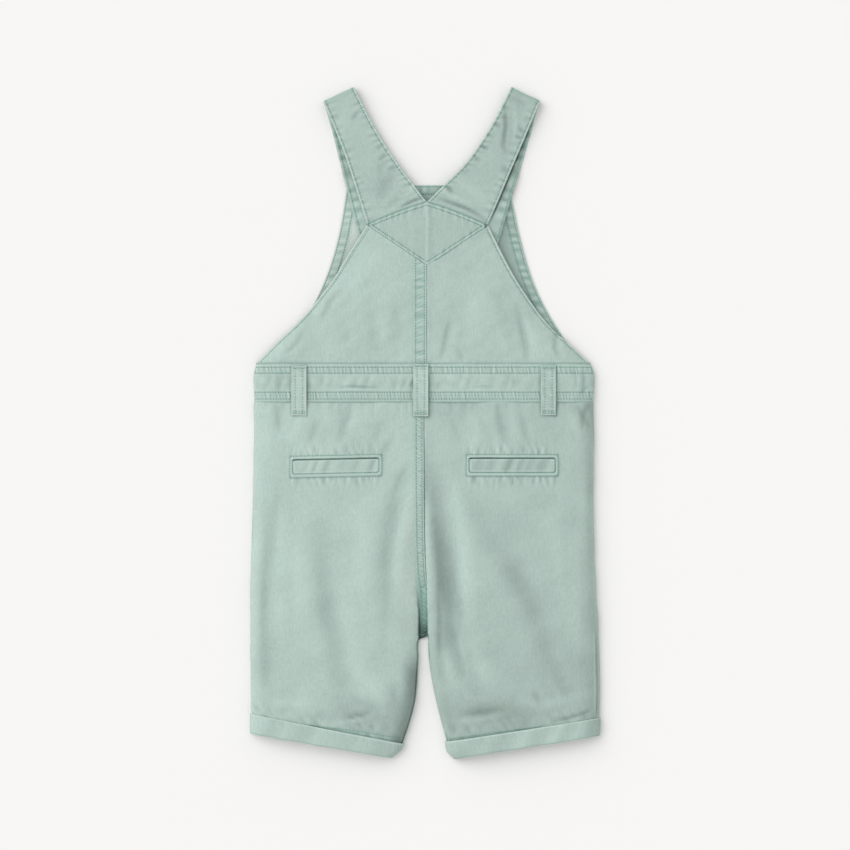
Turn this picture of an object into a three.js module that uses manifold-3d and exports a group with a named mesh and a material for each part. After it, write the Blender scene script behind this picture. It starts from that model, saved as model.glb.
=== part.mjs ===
// Baby dungaree shorts in cotton twill, laid flat on their front with the back up.
// Millimetres. +X is the wearer's right, +Y runs from the hems to the shoulders, +Z is up from the table.
// The front lies flat at Z = 0 and the back arches over it, so the body and the legs are open tubes.

import * as THREE from 'three';
import { mergeVertices } from 'three/addons/utils/BufferGeometryUtils.js';
import Module from 'manifold-3d';

// Cloth and seams
const CLOTH = 1.2; // wall of one layer, with its seam allowances
const BAND_CLOTH = 1.8; // wall of the waistband, which is doubled
const STRAP_CLOTH = 1.6; // wall of a strap, which is doubled
const GAP = 0.3; // between neighbouring pieces
const FELL_HEIGHT = 0.7; // how far a felled seam stands proud
const FOLD_RADIUS = 3; // how tightly the cloth turns at the side edges
const SIDE_SEAM_Z = 2.4; // height of the side and inside leg seams above the table

// Waistband and bib
const BAND_BOTTOM = 17.1;
const BAND_TOP = 46.9;
const BAND_HIGH = 10.5;
const LEG_TOP = BAND_BOTTOM - GAP;
const BIB_BOTTOM = BAND_TOP + GAP;
const ARMHOLE_EASE = 0.7; // the bib's lower edge rises this much towards the armholes, where it rolls down
const BIB_SEAM_X = 1;
const BIB_FELL_WIDTH = 10;
const BIB_FELL_PLACE = 0.9; // place across a bib half where the felled seam's width begins
const LEG_FELL_WIDTH = 7.4;
const VALLEY_WIDTH = 30; // width over which a back leg slopes down to the centre back seam
const YOKE = { leftX: -46.6, leftY: 158.3, rightX: 49.6, rightY: 157.6, lowX: 1.4, lowY: 126, highY: 176.4 };
const YOKE_BOW = 0.9; // bulge of the yoke's upper edges
const YOKE_BLUNT = 2; // how much of each side corner is taken up by the seam
const YOKE_RAISE = 0.4;

// Front
const FRONT_BIB_TOP = 190.4;
const FRONT_HEM = 8;
const FRONT_HEM_RAISE = 0.6;

// Buttons on the strap ends, which go down through the front bib
const BUTTON = { radius: 7, thick: 2.2, rim: 0.6, shank: 1.5, liftRadius: 8, liftEnd: 24 };
const BUTTON_PLACES = { left: { x: -43.5, y: 162 }, right: { x: 50, y: 162 } };
const BUTTONHOLE = { length: 16, width: 3.6, high: 8 };
const BUTTON_LIFT = BUTTON.thick + GAP;

// Shoulder fold of the straps
const SHOULDER_HIGH = 7.2;
const SHOULDER_RADIUS = SHOULDER_HIGH / 2;

// Belt loops, pocket welts and cuffs
const LOOP = { width: 12.2, cloth: 1.2, bulge: 1.1 };
const LOOPS = {
  left: { x: -101, bottom: 5.4, top: 45.4 },
  centre: { x: -3.6, bottom: 4.8, top: 47 },
  right: { x: 98.4, bottom: 5.6, top: 45.6 },
};
const WELT = { length: 68.4, width: 11, cloth: 1 };
const WELTS = {
  left: { x: -71.6, y: -34.9, tilt: 0.022 },
  right: { x: 69.5, y: -34.3, tilt: 0 },
};
const CUFF_ROW = 8; // row of the leg tables where the cuff begins; it ends at the last row
const HEM_ROW = 9;
const CUFF_HEIGHT = 16.5;
const CUFF_BEVEL = 0.4;

// The back legs, row by row from the waistband to the hem: side edge, inner edge (the centre back seam, then
// the inside leg), height of the cloth, how deep the inner edge dives and how rounded it is there.
const LEG_ROWS = {
  left: [
    { row: 0, sideX: -137.0, sideY: LEG_TOP, innerX: -1.4, innerY: LEG_TOP, high: 9.9, dive: 0, round: 0 },
    { row: 1, sideX: -137.3, sideY: -20, innerX: -1.3, innerY: -22, high: 10.8, dive: 0.05, round: 0 },
    { row: 2, sideX: -138.2, sideY: -60, innerX: -1.2, innerY: -62, high: 11.6, dive: 0.13, round: 0 },
    { row: 3, sideX: -139.4, sideY: -98, innerX: -0.6, innerY: -100, high: 12.0, dive: 0.28, round: 0 },
    { row: 4, sideX: -140.0, sideY: -134, innerX: 0.6, innerY: -136, high: 12.2, dive: 0.55, round: 0.1 },
    { row: 5, sideX: -140.2, sideY: -166, innerX: 0.7, innerY: -168, high: 12.2, dive: 0.95, round: 0.7 },
    { row: 5.14, sideX: -140.2, sideY: -170, innerX: 0.6, innerY: -171.6, high: 12.2, dive: 0.98, round: 0.8 },
    { row: 5.3, sideX: -140.2, sideY: -175, innerX: -4.8, innerY: -174.6, high: 12.2, dive: 1, round: 0.9 },
    { row: 6, sideX: -140.0, sideY: -196, innerX: -5.3, innerY: -190, high: 12.2, dive: 1, round: 1 },
    { row: 7, sideX: -139.6, sideY: -218, innerX: -8.0, innerY: -224, high: 11.8, dive: 1, round: 1 },
    { row: 8, sideX: -139.1, sideY: -233.2, innerX: -18.0, innerY: -257.0, high: 11.2, dive: 1, round: 1 },
    { row: 9, sideX: -139.1, sideY: -249.2, innerX: -27.6, innerY: -268.2, high: 10.8, dive: 1, round: 1 },
  ],
  right: [
    { row: 0, sideX: 134.6, sideY: LEG_TOP, innerX: -1.1, innerY: LEG_TOP, high: 9.9, dive: 0, round: 0 },
    { row: 1, sideX: 135.2, sideY: -20, innerX: -1.0, innerY: -22, high: 10.8, dive: 0.05, round: 0 },
    { row: 2, sideX: 134.4, sideY: -60, innerX: -0.9, innerY: -62, high: 11.6, dive: 0.13, round: 0 },
    { row: 3, sideX: 135.2, sideY: -98, innerX: -0.3, innerY: -100, high: 12.0, dive: 0.28, round: 0 },
    { row: 4, sideX: 136.8, sideY: -134, innerX: 1.2, innerY: -136, high: 12.2, dive: 0.55, round: 0.1 },
    { row: 5, sideX: 138.6, sideY: -166, innerX: 2.0, innerY: -168, high: 12.2, dive: 0.95, round: 0.7 },
    { row: 6, sideX: 139.6, sideY: -196, innerX: 2.8, innerY: -190, high: 12.2, dive: 1, round: 1 },
    { row: 7, sideX: 140.0, sideY: -220, innerX: 8.2, innerY: -222, high: 11.8, dive: 1, round: 1 },
    { row: 8, sideX: 139.1, sideY: -236.4, innerX: 17.0, innerY: -255.4, high: 11.2, dive: 1, round: 1 },
    { row: 9, sideX: 138.2, sideY: -250.8, innerX: 22.0, innerY: -268.6, high: 10.8, dive: 1, round: 1 },
  ],
};

// The waistband's side edges
const BAND_ROWS = [
  { y: BAND_BOTTOM, left: -137.0, right: 134.6 },
  { y: 38, left: -137.4, right: 135.6 },
  { y: BAND_TOP, left: -135.8, right: 132.4 },
];

// The back's armhole edges, up to the corners of the yoke
const ARMHOLE_ROWS = [
  { y: BAND_TOP, left: -135.8, right: 132.4 },
  { y: 62, left: -121.4, right: 116.2 },
  { y: 79, left: -103.6, right: 98.3 },
  { y: 95, left: -88.9, right: 85.7 },
  { y: 115, left: -73.8, right: 72.6 },
  { y: 136, left: -60.9, right: 61.2 },
  { y: 158.3, left: -46.6, right: 50.2 },
];

// The front bib's armhole edges, which show beside the back
const FRONT_ROWS = [
  { y: BAND_TOP, left: -134.0, right: 131.0 },
  { y: 60, left: -116.0, right: 117.0 },
  { y: 88, left: -93.8, right: 98.2 },
  { y: 117, left: -79.6, right: 84.8 },
  { y: 150, left: -69.6, right: 75.4 },
  { y: FRONT_BIB_TOP, left: -62.6, right: 67.2 },
];

// Height of the back above the table, from the waistband to the shoulders: at its edges, in its middle, and
// how far in from an edge the middle height is reached. stiff is 0 where an edge rolls down to the side seam
// and 1 where it stays.
const BACK_ROWS = [
  { y: BAND_TOP, edge: 2.6, middle: 9.9, crown: 18, stiff: 0 },
  { y: 62, edge: 3.8, middle: 9.6, crown: 22, stiff: 0.6 },
  { y: 80, edge: 4.4, middle: 9.3, crown: 26, stiff: 1 },
  { y: 105, edge: 5.0, middle: 9.1, crown: 28, stiff: 1 },
  { y: 130, edge: 6.2, middle: 9.0, crown: 28, stiff: 1 },
  { y: 152, edge: 7.6, middle: 9.1, crown: 28, stiff: 1 },
  { y: 166, edge: 7.9, middle: 9.0, crown: 28, stiff: 1 },
  { y: 180, edge: 7.2, middle: 8.2, crown: 28, stiff: 1 },
  { y: 196, edge: 6.2, middle: 6.7, crown: 28, stiff: 1 },
  { y: 216, edge: 5.6, middle: 5.8, crown: 28, stiff: 1 },
  { y: 240, edge: 6.2, middle: 6.2, crown: 28, stiff: 1 },
  { y: 262, edge: SHOULDER_HIGH, middle: SHOULDER_HIGH, crown: 28, stiff: 1 },
];

// The straps: their outer and inner edges on the back, from the yoke to the shoulder fold, and then on the
// front, down to the strap end inside the bib.
const STRAP_BACK = {
  left: [
    { row: 0, outerX: -46.6, outerY: 158.6, innerX: 0.9, innerY: 176.8 },
    { row: 1, outerX: -52.7, outerY: 178.0, innerX: -12.6, innerY: 194.6 },
    { row: 2, outerX: -59.0, outerY: 198.0, innerX: -24.2, innerY: 210.4 },
    { row: 3, outerX: -65.6, outerY: 217.5, innerX: -36.0, innerY: 228.6 },
    { row: 4, outerX: -73.6, outerY: 237.5, innerX: -46.6, innerY: 247.6 },
    { row: 5, outerX: -80.6, outerY: 254.1, innerX: -55.7, innerY: 265.8 },
  ],
  right: [
    { row: 0, outerX: 49.9, outerY: 158.0, innerX: 1.6, innerY: 176.8 },
    { row: 1, outerX: 58.2, outerY: 177.0, innerX: 17.0, innerY: 192.2 },
    { row: 2, outerX: 66.6, outerY: 197.0, innerX: 31.6, innerY: 206.9 },
    { row: 3, outerX: 74.6, outerY: 216.0, innerX: 43.6, innerY: 223.2 },
    { row: 4, outerX: 83.2, outerY: 236.0, innerX: 55.2, innerY: 242.0 },
    { row: 5, outerX: 90.9, outerY: 254.5, innerX: 67.3, innerY: 265.8 },
  ],
};
const STRAP_FRONT = {
  left: [
    { row: 0, outerX: -80.6, outerY: 254.1, innerX: -55.7, innerY: 265.8 },
    { row: 1, outerX: -73.6, outerY: 229.0, innerX: -47.8, innerY: 237.5 },
    { row: 2, outerX: -66.4, outerY: 200.0, innerX: -40.2, innerY: 207.4 },
    { row: 3, outerX: -59.2, outerY: 172.0, innerX: -33.0, innerY: 179.0 },
    { row: 4, outerX: -52.4, outerY: 146.5, innerX: -26.2, innerY: 153.5 },
    { row: 5, outerX: -46.4, outerY: 124.0, innerX: -20.4, innerY: 131.0 },
  ],
  right: [
    { row: 0, outerX: 90.9, outerY: 254.5, innerX: 67.3, innerY: 265.8 },
    { row: 1, outerX: 83.8, outerY: 229.0, innerX: 58.8, innerY: 237.5 },
    { row: 2, outerX: 75.2, outerY: 200.0, innerX: 50.0, innerY: 207.6 },
    { row: 3, outerX: 66.6, outerY: 172.0, innerX: 41.6, innerY: 179.4 },
    { row: 4, outerX: 59.3, outerY: 146.5, innerX: 34.3, innerY: 153.9 },
    { row: 5, outerX: 53.2, outerY: 124.0, innerX: 28.2, innerY: 131.4 },
  ],
};
const STRAP_FOLD = 5; // length in rows of each run of a strap, and the place of the shoulder fold
const STRAP_FOLD_SPAN = 1; // length in rows given to the fold itself

// The largest folds of the back: soft ridges, and troughs with a negative height
const FOLDS = [
  { fromX: 16, fromY: -52, toX: 20, toY: -186, width: 13, height: -1.7 },
  { fromX: -24, fromY: -56, toX: -38, toY: -146, width: 11, height: -1.0 },
  { fromX: -126, fromY: -50, toX: -128, toY: -214, width: 7, height: -0.8 },
  { fromX: -76, fromY: -212, toX: -36, toY: -226, width: 9, height: 0.9 },
  { fromX: 24, fromY: -212, toX: 66, toY: -224, width: 9, height: 0.9 },
  { fromX: 92, fromY: -224, toX: 132, toY: -212, width: 8, height: -0.8 },
  { fromX: -110, fromY: 62, toX: -84, toY: 92, width: 9, height: -0.8 },
  { fromX: 66, fromY: 118, toX: 82, toY: 56, width: 8, height: -0.9 },
  { fromX: -64, fromY: 8, toX: -84, toY: -24, width: 8, height: -0.5 },
  { fromX: 48, fromY: 8, toX: 58, toY: -26, width: 9, height: -0.6 },
];

// Colours
const TWILL = 0xaec4bd;
const TWILL_INSIDE = 0x8ba39a;
const BUTTON_COLOUR = 0xa7bab2;

const { lerp, clamp, smoothstep } = THREE.MathUtils;
const SIDES = ['left', 'right'];

// 0 with an upright tangent at q = 0, a quarter circle, and 1 from q = 1 on
function roundRise(q) {
  const short = 1 - clamp(q, 0, 1);
  return Math.sqrt(1 - short * short);
}

// 0 at q = 0, a quarter of a wave, and 1 from q = 1 on
function easyRise(q) {
  return Math.sin(clamp(q, 0, 1) * Math.PI / 2);
}

// A smooth curve through one column of a table, read at a value of its key column
function column(rows, key, name) {
  const last = rows.length - 1;
  const slope = (index) => {
    const before = rows[Math.max(index - 1, 0)];
    const after = rows[Math.min(index + 1, last)];
    return (after[name] - before[name]) / (after[key] - before[key]);
  };
  return (at) => {
    let index = 0;
    while (index < last - 1 && at > rows[index + 1][key]) index += 1;
    const from = rows[index];
    const to = rows[index + 1];
    const span = to[key] - from[key];
    const t = clamp((at - from[key]) / span, 0, 1);
    const rest = 1 - t;
    const ends = from[name] * rest * rest * (1 + 2 * t) + to[name] * t * t * (1 + 2 * rest);
    return ends + span * (slope(index) * t * rest * rest - slope(index + 1) * t * t * rest);
  };
}

// All the columns of a table as curves
function curves(rows, key) {
  const names = Object.keys(rows[0]).filter((name) => name !== key);
  return Object.fromEntries(names.map((name) => [name, column(rows, key, name)]));
}

function curvesOfSides(tables, key) {
  return Object.fromEntries(SIDES.map((side) => [side, curves(tables[side], key)]));
}

const leg = curvesOfSides(LEG_ROWS, 'row');
const strapBack = curvesOfSides(STRAP_BACK, 'row');
const strapFront = curvesOfSides(STRAP_FRONT, 'row');
const band = curves(BAND_ROWS, 'y');
const armhole = curves(ARMHOLE_ROWS, 'y');
const frontEdge = curves(FRONT_ROWS, 'y');
const back = curves(BACK_ROWS, 'y');

// Evenly spaced places from start to end, both included
function spread(start, end, steps) {
  return Array.from({ length: steps + 1 }, (_, index) => lerp(start, end, index / steps));
}

// Places from 0 to 1 that crowd towards both ends, where the cloth turns round
function crowded(steps) {
  return spread(0, Math.PI, steps).map((angle) => (1 - Math.cos(angle)) / 2);
}

// Adds the two lines between which relief rises, and drops others that lie too close
function withStep(places, at) {
  const low = at - 0.0025;
  const high = at + 0.0025;
  const others = places.filter((place) => place === 0 || place === 1 || Math.abs(place - at) > 0.008);
  return [...others, low, high].sort((a, b) => a - b);
}

// How much the largest folds raise or lower the cloth at a point
function foldHeight(x, y) {
  let height = 0;
  for (const fold of FOLDS) {
    const runX = fold.toX - fold.fromX;
    const runY = fold.toY - fold.fromY;
    const length = Math.hypot(runX, runY);
    const along = ((x - fold.fromX) * runX + (y - fold.fromY) * runY) / length;
    const aside = Math.abs((x - fold.fromX) * runY - (y - fold.fromY) * runX) / length;
    const begun = smoothstep(along, -fold.width, fold.width);
    const ended = smoothstep(along, length - fold.width, length + fold.width);
    height += fold.height * begun * (1 - ended) * (1 - smoothstep(aside, 0, fold.width));
  }
  return height;
}

// Outer surface of a back leg. across runs from 0 at the side seam to 1 at the inner edge.
function backLegPoint(side, row, across) {
  const at = leg[side];
  const x = lerp(at.sideX(row), at.innerX(row), across);
  const y = lerp(at.sideY(row), at.innerY(row), across);
  const width = Math.abs(at.innerX(row) - at.sideX(row));
  const seam = SIDE_SEAM_Z + GAP / 2;
  const lift = at.high(row) - seam;
  const turn = lift * lift / FOLD_RADIUS;
  const outward = roundRise(across * width / turn);
  const inset = (1 - across) * width;
  const round = clamp(at.round(row), 0, 1);
  const inward = lerp(easyRise(inset / VALLEY_WIDTH), roundRise(inset / turn), round);
  const dive = clamp(at.dive(row), 0, 1);
  const level = outward * (1 - dive * (1 - inward));
  return new THREE.Vector3(x, y, seam + lift * level + foldHeight(x, y) * level * level);
}

// Lower surface of a front leg, flat on the table except at its seams and where the cuff lies under it
function frontLegPoint(side, row, across) {
  const at = leg[side];
  const x = lerp(at.sideX(row), at.innerX(row), across);
  const y = lerp(at.sideY(row), at.innerY(row), across);
  const width = Math.abs(at.innerX(row) - at.sideX(row));
  const seam = SIDE_SEAM_Z - GAP / 2;
  const rest = (CLOTH + GAP) * smoothstep(row, CUFF_ROW - 0.8, CUFF_ROW - 0.2);
  const outward = 1 - roundRise(across * width / seam);
  const inward = smoothstep(row, 4.9, 5.6) * (1 - roundRise((1 - across) * width / seam));
  return new THREE.Vector3(x, y, lerp(rest, seam, Math.max(outward, inward)));
}

// Outer surface of the back of the waistband
function backBandPoint(up, across) {
  const y = lerp(BAND_BOTTOM, BAND_TOP, up);
  const x = lerp(band.left(y), band.right(y), across);
  const seam = SIDE_SEAM_Z + GAP / 2;
  const lift = BAND_HIGH - seam;
  const turn = lift * lift / FOLD_RADIUS;
  const width = band.right(y) - band.left(y);
  const level = roundRise(across * width / turn) * roundRise((1 - across) * width / turn);
  return new THREE.Vector3(x, y, seam + lift * level);
}

// Lower surface of the front of the waistband
function frontBandPoint(up, across) {
  const y = lerp(BAND_BOTTOM, BAND_TOP, up);
  const x = lerp(band.left(y), band.right(y), across);
  const seam = SIDE_SEAM_Z - GAP / 2;
  const width = band.right(y) - band.left(y);
  const level = roundRise(across * width / seam) * roundRise((1 - across) * width / seam);
  return new THREE.Vector3(x, y, seam * (1 - level));
}

// Height of the back's outer surface, from the waistband to the shoulders
function backHeight(x, y, leftEdge, rightEdge) {
  const inset = Math.max(0, Math.min(x - leftEdge, rightEdge - x));
  const q = inset / back.crown(y);
  const level = lerp(roundRise(q), easyRise(q), clamp(back.stiff(y), 0, 1));
  return lerp(back.edge(y), back.middle(y), level) + foldHeight(x, y) * level;
}

function backPoint(x, y) {
  return new THREE.Vector3(x, y, backHeight(x, y, armhole.left(y), armhole.right(y)));
}

// Half of the back bib. across runs from 0 at the armhole to 1 at the centre seam.
function bibPoint(side, up, across) {
  const cornerY = (side === 'left' ? YOKE.leftY : YOKE.rightY) - GAP;
  const edgeY = lerp(BIB_BOTTOM + ARMHOLE_EASE, cornerY, up);
  const edgeX = armhole[side](edgeY);
  const outward = side === 'left' ? -1 : 1;
  const seamX = BIB_SEAM_X + outward * GAP / 2;
  const seamY = lerp(BIB_BOTTOM, YOKE.lowY - GAP, up);
  const fellX = seamX + outward * BIB_FELL_WIDTH;
  const inFell = Math.max(0, across - BIB_FELL_PLACE) / (1 - BIB_FELL_PLACE);
  const beside = Math.min(1, across / BIB_FELL_PLACE);
  const x = across < BIB_FELL_PLACE ? lerp(edgeX, fellX, beside) : lerp(fellX, seamX, inFell);
  return backPoint(x, lerp(edgeY, seamY, (x - edgeX) / (seamX - edgeX)));
}

// Lower and upper edge of the diamond-shaped yoke at a place across it
function yokeEdges(x) {
  const left = x < YOKE.lowX;
  const cornerX = left ? YOKE.leftX : YOKE.rightX;
  const cornerY = left ? YOKE.leftY : YOKE.rightY;
  const run = clamp((x - cornerX) / (YOKE.lowX - cornerX), 0, 1);
  const bow = YOKE_BOW * Math.sin(Math.PI * run);
  return {
    low: lerp(cornerY, YOKE.lowY, run),
    high: lerp(cornerY, YOKE.highY, run) + bow,
  };
}

function yokePoint(up, across) {
  const x = lerp(YOKE.leftX + YOKE_BLUNT, YOKE.rightX - YOKE_BLUNT, across);
  const edges = yokeEdges(x);
  const point = backPoint(x, lerp(edges.low, edges.high - GAP, up));
  point.z = backHeight(x, point.y, YOKE.leftX, YOKE.rightX);
  return point;
}

// How far a button under the front bib lifts the layers above it
function buttonLift(x, y) {
  const lifts = Object.values(BUTTON_PLACES).map((place) => {
    const away = Math.hypot(x - place.x, y - place.y);
    return BUTTON_LIFT * (1 - smoothstep(away, BUTTON.liftRadius, BUTTON.liftEnd));
  });
  return Math.max(...lifts);
}

// Upper surface of the front bib
function frontBibPoint(up, across) {
  const y = lerp(BIB_BOTTOM, FRONT_BIB_TOP, up);
  const x = lerp(frontEdge.left(y), frontEdge.right(y), across);
  return new THREE.Vector3(x, y, CLOTH + buttonLift(x, y));
}

// Lower surface of the front run of a strap: on the table at the shoulder, and on the bib further down
function strapUnderHeight(x, y) {
  const onBib = CLOTH + FRONT_HEM_RAISE + GAP;
  return onBib * (1 - smoothstep(y, FRONT_BIB_TOP + 2, FRONT_BIB_TOP + 20)) + buttonLift(x, y);
}

function strapEdgePoint(curvesOfRun, row, across) {
  const x = lerp(curvesOfRun.outerX(row), curvesOfRun.innerX(row), across);
  const y = lerp(curvesOfRun.outerY(row), curvesOfRun.innerY(row), across);
  return { x, y, edge: curvesOfRun.outerX(row) };
}

// Outside of a strap, from the yoke over the shoulder fold to the strap end, across from 0 at the outer edge
function strapPoint(side, along, across) {
  if (along <= STRAP_FOLD) {
    const { x, y } = strapEdgePoint(strapBack[side], along, across);
    const bow = YOKE_BOW * Math.sin(Math.PI * across) * (1 - smoothstep(along, 0, 1));
    const blend = smoothstep(along, 0, 2);
    const sewn = backHeight(x, y + bow, YOKE.leftX, YOKE.rightX);
    const free = back.middle(y) - 0.4 * Math.abs(across - 0.5);
    return new THREE.Vector3(x, y + bow, lerp(sewn, free, blend));
  }
  if (along >= STRAP_FOLD + STRAP_FOLD_SPAN) {
    const { x, y } = strapEdgePoint(strapFront[side], along - STRAP_FOLD - STRAP_FOLD_SPAN, across);
    return new THREE.Vector3(x, y, strapUnderHeight(x, y));
  }
  const angle = Math.PI * (along - STRAP_FOLD) / STRAP_FOLD_SPAN;
  const { x, y } = strapEdgePoint(strapBack[side], STRAP_FOLD, across);
  const last = STRAP_BACK[side][STRAP_FOLD];
  const away = new THREE.Vector2(last.outerY - last.innerY, last.innerX - last.outerX).normalize();
  if (away.y < 0) away.negate();
  const reach = SHOULDER_RADIUS * Math.sin(angle);
  const z = SHOULDER_RADIUS + SHOULDER_RADIUS * Math.cos(angle);
  return new THREE.Vector3(x + away.x * reach, y + away.y * reach, z);
}

// Direction out of a surface at a place on it, given the way it faces at its middle
function outwardAt(surface, u, v, range, facing) {
  const stepU = (range.u[1] - range.u[0]) * 1e-4;
  const stepV = (range.v[1] - range.v[0]) * 1e-4;
  const clampU = (value) => clamp(value, range.u[0], range.u[1]);
  const clampV = (value) => clamp(value, range.v[0], range.v[1]);
  const alongU = surface(clampU(u + stepU), v).sub(surface(clampU(u - stepU), v));
  const alongV = surface(u, clampV(v + stepV)).sub(surface(u, clampV(v - stepV)));
  return alongU.cross(alongV).normalize().multiplyScalar(facing);
}

// A surface with the direction out of it. up says whether it faces up at the given place.
function sheet(surface, range, faceUp, testPlace) {
  const test = outwardAt(surface, testPlace[0], testPlace[1], range, 1);
  const facing = (test.z > 0) === faceUp ? 1 : -1;
  const out = (u, v) => outwardAt(surface, u, v, range, facing);
  return { point: surface, out };
}

// A closed solid from its points and faces, with the faces turned outwards
function solid(name, points, faces, colour) {
  const geometry = new THREE.BufferGeometry();
  const coordinates = points.flatMap((p) => [p.x, p.y, p.z]);
  geometry.setAttribute('position', new THREE.Float32BufferAttribute(coordinates, 3));
  let volume = 0;
  for (const [a, b, c] of faces) volume += points[a].dot(points[b].clone().cross(points[c]));
  geometry.setIndex(faces.flatMap(([a, b, c]) => (volume > 0 ? [a, b, c] : [a, c, b])));
  geometry.computeVertexNormals();
  return pieceOf(name, geometry, colour);
}

function pieceOf(name, geometry, colour) {
  const material = new THREE.MeshStandardMaterial({ color: colour, roughness: 0.92, metalness: 0 });
  const mesh = new THREE.Mesh(geometry, material);
  mesh.name = name;
  return mesh;
}

// Two triangles between four corners, cut along the shorter diagonal
function quad(points, a, b, c, d) {
  const direct = points[a].distanceToSquared(points[c]);
  const other = points[b].distanceToSquared(points[d]);
  return direct <= other ? [[a, b, c], [a, c, d]] : [[a, b, d], [b, c, d]];
}

// A wall of cloth: an outer grid, raised by any relief, and a plain inner grid, joined round the edges
function wall(name, cloth, places, thick, colour, relief = () => 0) {
  const { us, vs } = places;
  const outer = [];
  const inner = [];
  for (const u of us) {
    for (const v of vs) {
      const point = cloth.point(u, v);
      const out = cloth.out(u, v);
      outer.push(point.clone().addScaledVector(out, relief(u, v)));
      inner.push(point.clone().addScaledVector(out, -thick));
    }
  }
  const points = [...outer, ...inner];
  const below = outer.length;
  const id = (row, col) => row * vs.length + col;
  const faces = [];
  const lastRow = us.length - 1;
  const lastCol = vs.length - 1;
  for (let row = 0; row < lastRow; row += 1) {
    for (let col = 0; col < lastCol; col += 1) {
      const corners = [id(row, col), id(row, col + 1), id(row + 1, col + 1), id(row + 1, col)];
      faces.push(...quad(points, ...corners));
      faces.push(...quad(points, ...corners.map((corner) => corner + below).reverse()));
    }
  }
  const edge = (from, to) => faces.push(...quad(points, from, from + below, to + below, to));
  for (let col = 0; col < lastCol; col += 1) {
    edge(id(0, col), id(0, col + 1));
    edge(id(lastRow, col + 1), id(lastRow, col));
  }
  for (let row = 0; row < lastRow; row += 1) {
    edge(id(row + 1, 0), id(row, 0));
    edge(id(row, lastCol), id(row + 1, lastCol));
  }
  return solid(name, points, faces, colour);
}

// A strip with a constant section. The section's points are places along u with a distance out of the cloth.
function strip(name, cloth, section, vs, colour) {
  const points = [];
  for (const v of vs) {
    for (const { u, out } of section) points.push(cloth.point(u, v).addScaledVector(cloth.out(u, v), out));
  }
  const size = section.length;
  const faces = [];
  for (let ring = 0; ring < vs.length - 1; ring += 1) {
    for (let index = 0; index < size; index += 1) {
      const next = (index + 1) % size;
      const here = ring * size;
      const there = here + size;
      faces.push(...quad(points, here + index, here + next, there + next, there + index));
    }
  }
  const outline = section.map(({ u, out }) => new THREE.Vector2(u * CUFF_HEIGHT, out));
  const cap = THREE.ShapeUtils.triangulateShape(outline, []);
  const last = (vs.length - 1) * size;
  const sense = Math.sign(THREE.ShapeUtils.area(outline));
  for (const [a, b, c] of cap) {
    const same = Math.sign(THREE.ShapeUtils.area([outline[a], outline[b], outline[c]])) === sense;
    const start = same ? [a, c, b] : [a, b, c];
    faces.push(start);
    faces.push(start.map((corner) => corner + last).reverse());
  }
  return solid(name, points, faces, colour);
}

// The same cloth, moved out of itself by a distance
function movedOut(cloth, distance) {
  const point = (u, v) => cloth.point(u, v).addScaledVector(cloth.out(u, v), distance);
  return { point, out: cloth.out };
}

const FULL_LEG = { u: [0, HEM_ROW], v: [0, 1] };
const UNIT = { u: [0, 1], v: [0, 1] };
const STRAP_END = STRAP_FOLD * 2 + STRAP_FOLD_SPAN;

const backLegCloth = {};
const frontLegCloth = {};
for (const side of SIDES) {
  backLegCloth[side] = sheet((u, v) => backLegPoint(side, u, v), FULL_LEG, true, [1, 0.5]);
  frontLegCloth[side] = sheet((u, v) => frontLegPoint(side, u, v), FULL_LEG, false, [1, 0.5]);
}

// The leg panels stop inside the turned-up cuffs
const LEG_END = HEM_ROW - (CLOTH + 2 * GAP) / CUFF_HEIGHT;
const CUFF_MIDDLE = (CUFF_ROW + LEG_END) / 2;

const CROTCH_ROWS = [5, 5.14, 5.3]; // rows where the left leg's inner edge steps back under the centre seam
const LEG_FELL_EDGE = 1 - LEG_FELL_WIDTH / Math.abs(leg.left.innerX(0) - leg.left.sideX(0));
const ACROSS_BACK = { left: withStep(crowded(16), LEG_FELL_EDGE), right: crowded(16) };
const ACROSS_FRONT = crowded(9);

function backLeg(side) {
  const aboveCuff = [...spread(0, 4.75, 11), ...CROTCH_ROWS, ...spread(5.65, 7.7, 5)];
  const places = { us: [...aboveCuff, CUFF_ROW, CUFF_MIDDLE, LEG_END], vs: ACROSS_BACK[side] };
  const felled = (v) => side === 'left' && v > LEG_FELL_EDGE;
  const fell = (u, v) => (felled(v) ? FELL_HEIGHT * (1 - smoothstep(u, 4.6, 5)) : 0);
  return wall(`back_leg_${side}`, backLegCloth[side], places, CLOTH, TWILL, fell);
}

function frontLeg(side) {
  const aboveCuff = [...spread(0, 4.5, 9), ...CROTCH_ROWS, ...spread(5.65, 7.7, 6)];
  const places = { us: [...aboveCuff, CUFF_ROW, CUFF_MIDDLE, LEG_END], vs: ACROSS_FRONT };
  return wall(`front_leg_${side}`, frontLegCloth[side], places, CLOTH, TWILL);
}

// A turned-up cuff: an outer layer over the leg, and a lip round the leg's lower edge
function cuff(name, cloth, across) {
  const lip = HEM_ROW - CLOTH / CUFF_HEIGHT;
  const bevel = CUFF_BEVEL / CUFF_HEIGHT;
  const outer = GAP + CLOTH;
  const section = [
    { u: CUFF_ROW, out: GAP },
    { u: CUFF_ROW, out: outer - CUFF_BEVEL },
    { u: CUFF_ROW + bevel, out: outer },
    { u: CUFF_MIDDLE, out: outer },
    { u: HEM_ROW - bevel, out: outer },
    { u: HEM_ROW, out: outer - CUFF_BEVEL },
    { u: HEM_ROW, out: -CLOTH },
    { u: lip, out: -CLOTH },
    { u: lip, out: GAP },
    { u: CUFF_MIDDLE, out: GAP },
  ];
  return strip(name, cloth, section, across, TWILL);
}

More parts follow.
